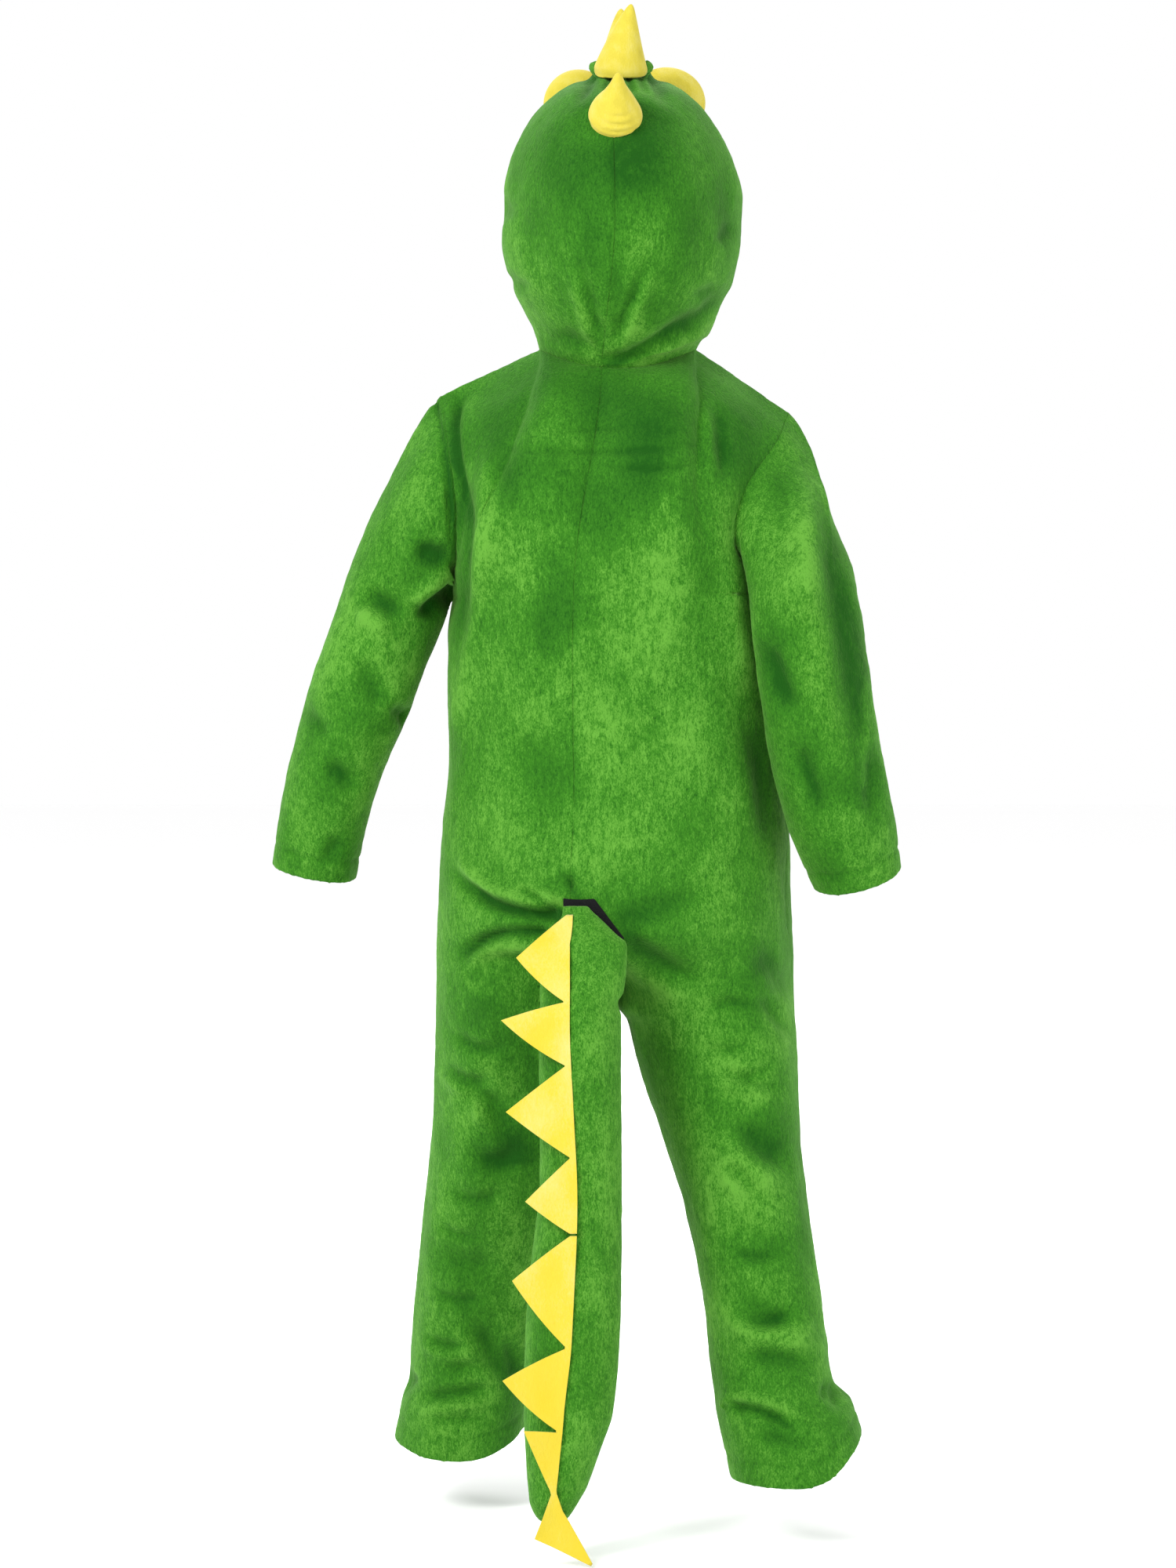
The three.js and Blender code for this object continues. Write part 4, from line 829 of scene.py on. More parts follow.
def sleeve_point(side, share, row):
    """Sleeve: its head from row 0 to 1, and then rings down to the cuff.

    The head is a cubic from the armhole to the first free ring. Half of the share runs down the
    armhole's back and half up its front.
    """
    back, front = ARMHOLE[side, 1], ARMHOLE[side, -1]
    behind = (share <= 0.5)[..., None]
    down_back = through(back, np.clip(2 * share, 0, 1))
    up_front = through(front, np.clip(2 - 2 * share, 0, 1))
    start = np.where(behind, down_back, up_front)
    middle = np.array([0, (back[2][1] + front[2][1]) / 2, (back[0][2] + back[4][2]) / 2])
    out = unit((start - middle) * (0, 1, 1))
    leave = unit(place(HEAD.aside * side, HEAD.spread * out[..., 1], -HEAD.down))
    ring, run = sleeve_ring(side, SLEEVE_TOP + 0 * share, share)
    length = HEAD.pull * np.linalg.norm(ring - start, axis=-1, keepdims=True)
    start[..., 0] += side * SEAM
    head = hermite(start, leave * length, ring, run * length, np.clip(row, 0, 1)[..., None])
    height = SLEEVE_TOP + (SLEEVE_END - SLEEVE_TOP) * np.clip(row - 1, 0, 1)
    return np.where((row <= 1)[..., None], head, sleeve_ring(side, height, share)[0])


def hood_point(side, u, v):
    """Hood, where u runs from the centre-back seam to the face edge and v from the neckline to the crown.

    Each section is an ellipse, deeper behind than in front. Its lowest rows follow the neckline's height,
    which fades with a square. The crown is raised by the tent, a bell along it that is flat across,
    and by the rim, a bell across and along.
    """
    turn = np.radians(HOOD_TURN.neck + (HOOD_TURN.crown - HOOD_TURN.neck) * step(0, HOOD_TURN.full, v))
    edge = np.radians(column(HOOD, "edge", v, "v"))
    ear = side * QUARTER
    angle = np.where(u <= 0.5, turn + (ear - turn) * 2 * u, ear + (side * edge + turn) * (2 * u - 1))
    deep = np.where(np.cos(angle) > 0, column(HOOD, "back", v, "v"), column(HOOD, "front", v, "v"))
    x = column(HOOD, "x", v, "v") + column(HOOD, "half", v, "v") * np.sin(angle)
    y = deep * np.cos(angle)
    z = column(HOOD, "z", v, "v") + neck_point(angle)[..., 2] * np.maximum(0, 1 - v / NECK_FADE) ** 2
    flat = 1 - step(TENT.wide - TENT.inside, TENT.wide + TENT.outside, np.abs(x - TENT.x))
    tent = TENT.high * flat * bell(y - TENT.y, TENT.long)
    off = np.abs(x - TENT.x) - TENT.wide - RIM.off
    rim = TENT.rim * bell(off, np.where(off > 0, RIM.outside, RIM.inside)) * bell(y - RIM.y, RIM.long)
    return place(x, y, z + (tent + rim) * step(TENT.start, TENT.full, v))


def tail_ring(z, angle):
    """Tail section, an ellipse: width by the sine and depth by the cosine of an angle from straight back."""
    value = {name: column(TAIL, name, z) for name in ("x", "y", "wide", "deep")}
    return place(value["x"] + value["wide"] * np.sin(angle), value["y"] + value["deep"] * np.cos(angle), z)


def ridge_point(z):
    """The tail's ridge seam at a height."""
    return tail_ring(z, np.radians(column(TAIL, "ridge", z)))


def seat_point(x, z):
    """Point of the seat's back at a place seen from behind: the torso's rounded box solved for its depth."""
    width = np.where(x > 0, column(TORSO, "left", z), column(TORSO, "right", z))
    share = np.maximum(0, 1 - (np.abs(x) / width) ** (2 / BOXINESS))
    return place(x, column(TORSO, "back", z) * share ** (BOXINESS / 2), z)


def run_length(points, axis):
    """Length along the grid's lines from their start."""
    pieces = np.linalg.norm(np.diff(points, axis=axis), axis=-1)
    start = np.zeros_like(np.take(pieces, [0], axis=axis))
    return np.concatenate([start, np.cumsum(pieces, axis=axis)], axis=axis)


def normals_of(points, wrap, turned):
    """Outward normals of a grid: the cross product of its two directions."""
    if wrap:
        across = np.roll(points, -1, axis=1) - np.roll(points, 1, axis=1)
    else:
        across = np.gradient(points, axis=1)
    return unit(np.cross(across, np.gradient(points, axis=0)) * turned)


def edge_spaced(count, length, wall=2.5):
    """Shares from 0 to 1, evenly spaced but closer at both ends, where a wall of cloth is rounded."""
    close = np.array([0, 0.12, 0.35, 0.7, 1.1]) * wall / length
    middle = np.linspace(close[-1], 1 - close[-1], count - 8)
    return np.concatenate([close[:-1], middle, 1 - close[-2::-1]])


# Folds: points of a line, how many widths off it ends, the height, place and spread of the swell beside it,
# the shares of its length at which it is full and starts to fade, the depth and width of full shade, and the
# most shade
FOLD = SimpleNamespace(
    steps=25,
    reach=4,
    swell=0.75,
    swell_off=1.7,
    swell_spread=0.9,
    start=0.35,
    end=0.6,
    full_depth=3,
    full_width=8,
    most=1.6,
)


def fold_curve(x1, z1, x2, z2, x3, z3):
    """A fold's line: a parabola from its first place to its third, through its second half way."""
    t = np.linspace(0, 1, FOLD.steps)
    pull_x, pull_z = 2 * x2 - (x1 + x3) / 2, 2 * z2 - (z1 + z3) / 2
    curve_x = (1 - t) ** 2 * x1 + 2 * t * (1 - t) * pull_x + t * t * x3
    curve_z = (1 - t) ** 2 * z1 + 2 * t * (1 - t) * pull_z + t * t * z3
    return curve_x, curve_z


def from_curve(px, pz, curve_x, curve_z):
    """How far places in a column lie off a line, on which side of its run, and how far along it."""
    ax, az = curve_x[:-1], curve_z[:-1]
    dx, dz = np.diff(curve_x), np.diff(curve_z)
    share = np.clip(((px - ax) * dx + (pz - az) * dz) / (dx * dx + dz * dz), 0, 1)
    off_x, off_z = px - ax - share * dx, pz - az - share * dz
    apart = np.hypot(off_x, off_z)
    best = apart.argmin(axis=1)
    pick = (np.arange(len(best)), best)
    left = np.sign(dx[best] * off_z[pick] - dz[best] * off_x[pick])
    return apart[pick], left, (best + share[pick]) / len(dx)


def fold_depth(points, facing, rows):
    """Height and shade of the folds of a table, added up.

    Across its line a fold is minus its depth times a bell of its width, and some have a second, raised bell
    beside it. Along its line it fades in and out smoothly, and shade follows height up to a limit.
    """
    height = np.zeros(points.shape[:-1])
    shade = np.zeros(points.shape[:-1])
    x, z = points[..., 0], points[..., 2]
    for *places, wide, deep, swell, held in zip(*rows.values()):
        curve_x, curve_z = fold_curve(*places)
        reach = FOLD.reach * wide
        near = (x > curve_x.min() - reach) & (x < curve_x.max() + reach)
        near &= (z > curve_z.min() - reach) & (z < curve_z.max() + reach)
        if not near.any():
            continue
        apart, left, along = from_curve(x[near][:, None], z[near][:, None], curve_x, curve_z)
        fade = (1 if held else step(0, FOLD.start, along)) * (1 - step(FOLD.end, 1, along))
        across = apart / wide
        form = -bell(across, 1)
        if swell:
            form += FOLD.swell * np.exp(-((across * left * swell - FOLD.swell_off) ** 2) / FOLD.swell_spread)
        height[near] += deep * form * fade * facing[near]
        darker = np.clip(deep / FOLD.full_depth, -1, FOLD.most) * min(1, FOLD.full_width / wide)
        shade[near] += darker * form * fade * facing[near]
    return height, shade


# Brushed places and places of painted shade: how much larger than its row one is, and the shares of its size
# at which it is full and gone
NAP_AND_SHADE_EDGE = SimpleNamespace(size=1.25, full=0.35, gone=1.15)


def nap_and_shade_tone(points, facing, rows, wander):
    """Tone of brushed places and painted shade, added up: ellipses with wandering edges that fade smoothly
    outwards.
    """
    tone = np.zeros(points.shape[:-1])
    for x, z, wide, tall, tilt, value in zip(*rows.values()):
        c, s = math.cos(math.radians(tilt)), math.sin(math.radians(tilt))
        dx, dz = points[..., 0] - x + wander[0], points[..., 2] - z + wander[1]
        across = (dx * c + dz * s) / (NAP_AND_SHADE_EDGE.size * wide)
        along = (-dx * s + dz * c) / (NAP_AND_SHADE_EDGE.size * tall)
        tone += value * facing * (1 - step(NAP_AND_SHADE_EDGE.full, NAP_AND_SHADE_EDGE.gone, np.hypot(across, along)))
    return tone


def waves(points, seed, size, stretch):
    """Uneven soft waves of about -1 to 1: a sum of sines in scattered directions, longer up and down.

    They depend on the place alone, so neighbouring pieces of cloth agree where they meet.
    """
    rng = np.random.default_rng(seed)
    total = np.zeros(points.shape[:-1])
    count, spread = 12, 1.6
    for _ in range(count):
        way = unit(rng.normal(size=3)) / (1, 1, stretch)
        length = size * rng.uniform(0.6, 1.7)
        total += np.sin(2 * math.pi / length * (points @ way) + rng.uniform(0, 2 * math.pi))
    return total / math.sqrt(count / 2) / spread


def wander_of(points, ways):
    """How far the edges of brushed places and painted shade wander across and up: waves times their
    strengths, added up.
    """
    return [sum(strength * waves(points, *wave) for strength, *wave in way) for way in ways]


def tufts(shape, seed):
    """Grain of pile tips: random numbers smoothed along the pile's lie by weights, over their spread."""
    grain = np.random.default_rng(seed).normal(size=shape)
    weights, spread = (1, 2, 3, 2, 1), 4.4
    return sum(w * np.roll(grain, i - 2, axis=0) for i, w in enumerate(weights)) / spread


def grid_index(rows, columns):
    """Numbers of a grid's points, row by row."""
    return np.arange(rows * columns).reshape(rows, columns)


def quads(index, wrap):
    """Corner values of a grid's quads, with the last column joined to the first where it wraps."""
    if wrap:
        index = np.concatenate([index, index[:, :1]], axis=1)
    corners = [index[:-1, :-1], index[1:, :-1], index[1:, 1:], index[:-1, 1:]]
    return np.stack(corners, axis=-1).reshape(-1, 4)


def sheet_map(rows, columns, wrap, half):
    """Flat map of a grid's quads: the outer face takes the map's left half and the inner face its right."""
    margin = 0.004
    across = np.linspace(0, 1, columns + (1 if wrap else 0))
    v, u = np.meshgrid(np.linspace(0, 1, rows), across, indexing="ij")
    u = margin + u * (0.5 - 2 * margin) + 0.5 * half
    v = margin + v * (1 - 2 * margin)
    return np.stack([quads(u, False), quads(v, False)], axis=-1)


def add_object(name, data):
    """A new object in the scene."""
    item = bpy.data.objects.new(name, data)
    bpy.context.scene.collection.objects.link(item)
    return item


def make_object(name, points, faces, corner_map, attributes, material):
    """Mesh object from arrays in millimetres, its faces turned outwards by the sign of its volume."""
    first, second, third, fourth = (points[faces[:, k]] for k in range(4))
    volume = np.sum(first * np.cross(second, third)) + np.sum(first * np.cross(third, fourth))
    if volume < 0:
        faces = faces[:, ::-1]
        corner_map = corner_map[:, ::-1]
    mesh = bpy.data.meshes.new(name)
    mesh.vertices.add(len(points))
    mesh.vertices.foreach_set("co", (points * MM).ravel())
    mesh.loops.add(faces.size)
    mesh.loops.foreach_set("vertex_index", faces.ravel())
    mesh.polygons.add(len(faces))
    mesh.polygons.foreach_set("loop_start", np.arange(0, faces.size, 4))
    mesh.polygons.foreach_set("use_smooth", np.ones(len(faces), bool))
    mesh.update(calc_edges=True)
    layer = mesh.uv_layers.new(name="OFBake")
    layer.data.foreach_set("uv", corner_map.ravel())
    for attribute, values in attributes.items():
        mesh.attributes.new(attribute, "FLOAT", "POINT").data.foreach_set("value", values)
    mesh.validate()
    mesh.materials.append(material)
    return add_object(name, mesh)


def shell(name, outer, inner, wrap, tone_and_shade, material):
    """Closed wall of cloth: an outer and an inner grid that share the points of their free edges."""
    rows, columns = outer.shape[:2]
    rim = np.ones((rows, columns), bool)
    rim[1:-1, :] = False
    if not wrap:
        rim[:, [0, -1]] = True
    above = grid_index(rows, columns)
    below = above.copy()
    below[~rim] = rows * columns + np.arange(np.count_nonzero(~rim))
    points = np.concatenate([outer.reshape(-1, 3), inner[~rim]])
    faces = np.concatenate([quads(above, wrap), quads(below, wrap)[:, ::-1]])
    flat = np.concatenate([sheet_map(rows, columns, wrap, 0), sheet_map(rows, columns, wrap, 1)[:, ::-1]])
    inside = np.concatenate([np.zeros(rows * columns), np.ones(np.count_nonzero(~rim))])
    attributes = {"inside": inside, "tone_and_shade": np.concatenate([tone_and_shade.ravel(), tone_and_shade[~rim]])}
    return make_object(name, points, faces, flat, attributes, material)


def spine(points):
    """A place inside the costume behind each point: on the trunk's axis, or in the leg below the crotch."""
    chest = -150
    x, z = points[..., 0], points[..., 2]
    centre = place(0, 0, np.minimum(z, chest))
    for side, _ in SIDES:
        leg = (z < CROTCH) & (x * side > 0)
        across = side * (column(LEG[side], "inner", z) + column(LEG[side], "outer", z)) / 2
        in_leg = place(across, column(LEG[side], "y", z), z)
        centre = np.where(leg[..., None], in_leg, centre)
    return centre


def head_middle(points):
    """The middle of the hood behind each point."""
    return np.array(HOOD_MIDDLE) + 0 * points


def shared_normals(points, normals, inside, weight):
    """Turns normals near a seam, by a weight, to one way that both pieces share.

    That way is square to the seam and leads away from the inside.
    """
    tangent = unit(np.gradient(points, axis=0))
    away = unit(points - inside(points))
    away = unit(away - tangent * np.sum(away * tangent, axis=-1, keepdims=True))
    return unit(normals * (1 - weight[..., None]) + away[:, None] * weight[..., None])


def seam_normals(points, normals, wrap, style, distances, sewn):
    """Normals of a piece with those near its seams shared with its neighbours."""
    to_left, to_right, to_top = distances
    reach = EDGE.shared
    if not wrap:
        normals = shared_normals(points[:, 0], normals, style.inside, 1 - step(0, reach, to_left))
        weight = (1 - step(0, reach, to_right)) * sewn
        normals = shared_normals(points[:, -1], normals, style.inside, weight)
    top = shared_normals(points[0], normals.swapaxes(0, 1), spine, 1 - step(0, reach, to_top).T)
    return top.swapaxes(0, 1)


# Cloth, in millimetres: how far it is calm below its top seam, how far from a seam normals are shared,
# depth of its pile tips, painted shade by height (lower cloth darker), reach of a seam's groove, half-width
# and depth of a line of stitches, how softly a hem ends, how much narrower the face opening's hem is, how
# much thicker hems are, the wall's share at a seam and how far it takes to grow, a distance that is far from
# any edge, how deep the lines of an allowance lie, and how short an allowance gets beside a hem and at the
# top
EDGE = SimpleNamespace(
    calm=14,
    shared=18,
    tufts=0.14,
    low_painted_shade=0.02,
    groove=4,
    stitch=2.6,
    stitch_depth=1.0,
    hem_soft=2,
    narrower=6,
    turned=1.6,
    thin=0.36,
    grown=4,
    far=60,
    allowance=(5, 2.5, 0.9),
    least_sewn=0.02,
    least_top=0.04,
)
# Where cloth begins and ceases to be its piece's back or front, by its place in depth or by its normal
FACING_PLACE = (-12, 12)
FACING_NORMAL = (-0.1, 0.15)
# Waves that bend the edges of brushed places and of painted shade, across and up: strength, seed, size and
# stretch
WANDER = (((7, 5, 38, 1.6), (2.5, 15, 9, 2)), ((9, 6, 34, 1.6), (6, 16, 12, 2)))
TAIL_WANDER = (((6, 5, 30, 1.6),), ((12, 6, 30, 1.6),))


def allowance(points, normals, share):
    """Three more lines past a sewn edge (the first line), which turn inwards as its seam allowance."""
    return np.stack([points[0] - normals[0] * share * depth for depth in EDGE.allowance])


def with_allowances(points, normals, to_top, sewn_side, wrap):
    """A piece's grid, and the normals of its edges, with the allowances of its sewn edges.

    An allowance is short where the piece's side is a hem, and at the top of a side.
    """
    more = len(EDGE.allowance)
    if not wrap:
        sewn = np.ones(len(points)) if sewn_side is None else np.maximum(sewn_side, EDGE.least_sewn)
        short = EDGE.least_top + (1 - EDGE.least_top) * step(0, 8, to_top[:, [0, -1]])
        turned, turned_normals = points.swapaxes(0, 1), normals.swapaxes(0, 1)
        left = allowance(turned, turned_normals, short[:, :1])
        right = allowance(turned[::-1], turned_normals[::-1], sewn[:, None] * short[:, 1:])
        points = np.concatenate([left, turned, right[::-1]]).swapaxes(0, 1)
        normals = np.pad(normals, ((0, 0), (more, more), (0, 0)), mode="edge")
    points = np.concatenate([allowance(points, normals, 1), points])
    return points, np.pad(normals, ((more, 0), (0, 0), (0, 0)), mode="edge")


def cloth_relief(points, normals, style, calm, to_top):
    """Height and tone of cloth away from its edges: folds, brushed places, painted shade, waves, pile tips,
    added up.
    """
    size = bpy.context.scene.costume_sizes
    height = np.zeros(points.shape[:-1])
    tone_and_shade = np.zeros(points.shape[:-1])
    wander = wander_of(points, WANDER)
    for part, way in (("_back", 1), ("_front", -1)):
        if style.by_place:
            facing = step(*FACING_PLACE, way * points[..., 1])
        else:
            facing = step(*FACING_NORMAL, way * normals[..., 1])
        fold, shade = fold_depth(points, facing, FOLDS[style.kind + part])
        height += fold * size.fold_depth
        # Painted shade in the folds' troughs and painted light on their swells and ridges
        tone_and_shade += size.fold_shade * shade
        # Brushed places of the pile, and painted shade in folds and beside the tail
        tone_and_shade += nap_and_shade_tone(points, facing, NAP_AND_SHADE[style.kind + part], wander) * size.nap_and_shade_contrast
    # Painted shade: cloth that lies lower, in the folds' troughs, is darker
    tone_and_shade += EDGE.low_painted_shade * height
    height += size.wave_height / MM * (waves(points, 1, 95, 2.2) + 0.4 * waves(points, 2, 34, 1.8))
    height *= calm * step(0, EDGE.calm, to_top)
    return height + EDGE.tufts * tufts(height.shape, style.seed), tone_and_shade


def cloth(name, points, turned, style, wrap=False, sewn_side=None, calm=1.0):
    """Wall of plush on a grid: its relief, seam grooves, turned hems and seam allowances.

    The middle of the wall is the grid moved by the relief along its normals. A groove is a bell of the
    distance to a seam, and a line of stitches is a bell of the distance to a hem's inner edge.
    sewn_side says for each row how far its last column is a seam (1) or a hem (0). The first row and
    the first column are seams, and the last row is a hem unless the style says that it is sewn.
    """
    size = bpy.context.scene.costume_sizes
    hem_width, seam_roll, soft = size.hem_width / MM, size.seam_roll / MM, EDGE.hem_soft
    across, along = run_length(points, 1), run_length(points, 0)
    to_left, to_right = across, across[:, -1:] - across
    to_top, to_bottom = along, along[-1:] - along
    open_side = 0 if sewn_side is None else (1 - sewn_side)[:, None]
    distances = (to_left, to_right, to_top)
    normals = seam_normals(points, normals_of(points, wrap, turned), wrap, style, distances, 1 - open_side)
    height, tone_and_shade = cloth_relief(points, normals, style, calm, to_top)
    to_seam = to_top if wrap else np.minimum(np.minimum(to_top, to_left), to_right + EDGE.far * open_side)
    groove = bell(to_seam, EDGE.groove)
    pucker = 1 + 0.6 * waves(points, 3, 15, 1)
    height -= size.seam_depth / MM * groove * pucker
    height -= seam_roll * (1 - rounded(to_seam, seam_roll))
    hem = (1 - step(hem_width - soft, hem_width + soft, to_bottom)) * style.hemmed
    stitch = bell(to_bottom - hem_width, EDGE.stitch) * style.hemmed
    face_hem = hem_width - EDGE.narrower
    hem = np.maximum(hem, open_side * (1 - step(face_hem - soft, face_hem + soft, to_right)))
    stitch = np.maximum(stitch, open_side * bell(to_right - face_hem, EDGE.stitch))
    height -= EDGE.stitch_depth * stitch * pucker
    moved = points + normals * height[..., None]
    # Painted shade along the lines of stitches and in the seam grooves, besides a random tone of soft waves
    tone_and_shade += 0.1 * waves(points, 8, 60, 2) - 0.1 * stitch - 0.05 * groove
    to_hem = np.minimum(to_bottom + EDGE.far * (1 - style.hemmed), to_right + EDGE.far * (1 - open_side))
    wall = size.plush / MM + EDGE.turned * hem
    wall = wall * (EDGE.thin + (1 - EDGE.thin) * step(0, EDGE.grown, to_seam))
    rounding = rounded(to_hem, 0.5 * wall)
    moved, edge_normals = with_allowances(moved, normals, to_top, sewn_side, wrap)
    more = len(EDGE.allowance)
    pad = ((more, 0), (0, 0) if wrap else (more, more))
    wall, rounding, tone_and_shade = (np.pad(part, pad, mode="edge") for part in (wall, rounding, tone_and_shade))
    normals = normals_of(moved, wrap, turned)
    if sewn_side is not None:
        last = slice(-1 - more, None)
        share = np.pad(sewn_side, (more, 0), mode="edge")[:, None, None]
        normals[:, last] = unit(normals[:, last] * share + edge_normals[:, last] * (1 - share))
    middle = moved - normals * (wall / 2)[..., None]
    half = normals * (wall / 2 * rounding)[..., None]
    return shell(name, middle + half, middle - half, wrap, tone_and_shade, plush_material())


def declare(piece, node):
    """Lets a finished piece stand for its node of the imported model."""
    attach(piece, "root")
    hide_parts(node)


def declare_cloth(piece, node):
    """Lets a cloth piece stand for its node, as declare does."""
    declare(piece, node)


def set_values(node, **values):
    """Sets a shader node's fields and, by name, its inputs."""
    for name, value in values.items():
        if hasattr(node, name):
            setattr(node, name, value)
        else:
            node.inputs[name.replace("_", " ")].default_value = value
    return node


def set_node(tree, kind, place_at, **values):
    """Adds a shader node and sets its fields and, by name, its inputs."""
    node = tree.nodes.new(kind)
    node.location = place_at
    return set_values(node, **values)


def blank_material(name):
    """A new material of shader nodes, with its node tree and its shader."""
    material = bpy.data.materials.new(name)
    material.use_nodes = True
    tree = material.node_tree
    return material, tree, tree.nodes["Principled BSDF"]


def add_bump(tree, shader, height, place_at, strength, distance):
    """Bump of a height on a shader's normal."""
    relief = set_node(tree, "ShaderNodeBump", place_at, Strength=strength, Distance=distance)
    tree.links.new(height, relief.inputs["Height"])
    tree.links.new(relief.outputs["Normal"], shader.inputs["Normal"])


def math_node(tree, place_at, operation, *values, clamp=False):
    """Adds a Math node fed by numbers or sockets and returns its output socket."""
    node = set_node(tree, "ShaderNodeMath", place_at, operation=operation, use_clamp=clamp)
    for socket, value in zip(node.inputs, values):
        if isinstance(value, bpy.types.NodeSocket):
            tree.links.new(value, socket)
        else:
            socket.default_value = value
    return node.outputs[0]


# Layers of the pile's pattern: name, features per metre across, across and up, detail and distortion
PILE_LAYERS = (
    ("Streak", (1100, 1100, 520), 2.0, 0.0),
    ("Clump", (480, 480, 190), 4.0, 0.5),
    ("Brush", (75, 75, 42), 4.0, 1.4),
    ("Patch", (22, 22, 10), 3.0, 0.9),
)


def pile_group():
    """Node group of brushed pile: streaks and clumps that hang straight down, and broad patches.

    Broad tone is patch plus brush plus the pieces' brushed tone and painted shade times (1 + 4.5 brush).
    Tone is broad plus the grain of streaks and clumps times a share of 0.85 + 1.6 broad, which is kept
    between 0 and 1.
    """
    group = bpy.data.node_groups.get("brushed pile")
    if group:
        return group
    group = bpy.data.node_groups.new("brushed pile", "ShaderNodeTree")
    group.interface.new_socket("Place", in_out="INPUT", socket_type="NodeSocketVector")
    for name in ("Brushed and shaded", *(layer[0] for layer in PILE_LAYERS)):
        group.interface.new_socket(name, in_out="INPUT", socket_type="NodeSocketFloat")
    for name in ("Tone", "Height"):
        group.interface.new_socket(name, in_out="OUTPUT", socket_type="NodeSocketFloat")
    start = set_node(group, "NodeGroupInput", (-900, 0))
    end = set_node(group, "NodeGroupOutput", (700, 0))
    noise, layer = {}, {}
    for row, (name, scale, detail, bent) in enumerate(PILE_LAYERS):
        y = 300 - 220 * row
        mapping = set_node(group, "ShaderNodeMapping", (-700, y), Scale=scale)
        texture = set_node(group, "ShaderNodeTexNoise", (-500, y), Scale=1.0, Detail=detail, Distortion=bent)
        group.links.new(start.outputs["Place"], mapping.inputs["Vector"])
        group.links.new(mapping.outputs["Vector"], texture.inputs["Vector"])
        noise[name] = texture.outputs["Fac"]
        centred = math_node(group, (-300, y), "SUBTRACT", noise[name], 0.5)
        layer[name] = math_node(group, (-120, y), "MULTIPLY", centred, start.outputs[name])
    grain = math_node(group, (80, 200), "ADD", layer["Streak"], layer["Clump"])
    brushed = math_node(group, (80, -200), "ADD", layer["Patch"], layer["Brush"])
    uneven = math_node(group, (-120, -560), "MULTIPLY_ADD", layer["Brush"], 4.5, 1.0)
    broken_nap_and_shade = math_node(group, (80, -420), "MULTIPLY", start.outputs["Brushed and shaded"], uneven)
    broad = math_node(group, (80, 0), "ADD", brushed, broken_nap_and_shade)
    share = math_node(group, (240, 60), "MULTIPLY_ADD", broad, 1.6, 0.85, clamp=True)
    tone = math_node(group, (400, 100), "MULTIPLY_ADD", grain, share, broad)
    height = math_node(group, (240, -200), "MULTIPLY_ADD", noise["Streak"], 0.6, noise["Clump"])
    group.links.new(tone, end.inputs["Tone"])
    group.links.new(height, end.inputs["Height"])
    return group


def ramp(tree, stops, place_at):
    """Colour ramp with the given (position, colour) stops."""
    node = tree.nodes.new("ShaderNodeValToRGB")
    node.location = place_at
    while len(node.color_ramp.elements) < len(stops):
        node.color_ramp.elements.new(0.5)
    for element, (position, colour) in zip(node.color_ramp.elements, stops):
        element.position = position
        element.color = (*colour, 1)
    return node


# Heights of the bumps, in metres
PILE_HEIGHT = 0.0016
LOOP_HEIGHT = 0.0006
# The Mix node's sockets for colours, by number because their names repeat
MIX = SimpleNamespace(factor=0, first=6, second=7, result=2)
# How each pile looks: strengths of its pattern's layers, of its bump and of its sheen, and the sheen's
# roughness and tint
LOOK_COLUMNS = "layers bump sheen sheen_rough sheen_tint"
PLUSH_LOOK = named(LOOK_COLUMNS, (1.1, 1.0, 0.5, 0.14), 0.6, 0.22, 0.45, (0.5, 1.0, 0.25))
YELLOW_LOOK = named(LOOK_COLUMNS, (0.4, 0.3, 0.1, 0.15), 0.3, 0.3, 0.4, (1.0, 0.95, 0.6))
FELT_LOOK = named(LOOK_COLUMNS, (0.35, 0.35, 0.1, 0.3), 0.25, 0.2, 0.5, (1.0, 0.95, 0.7))


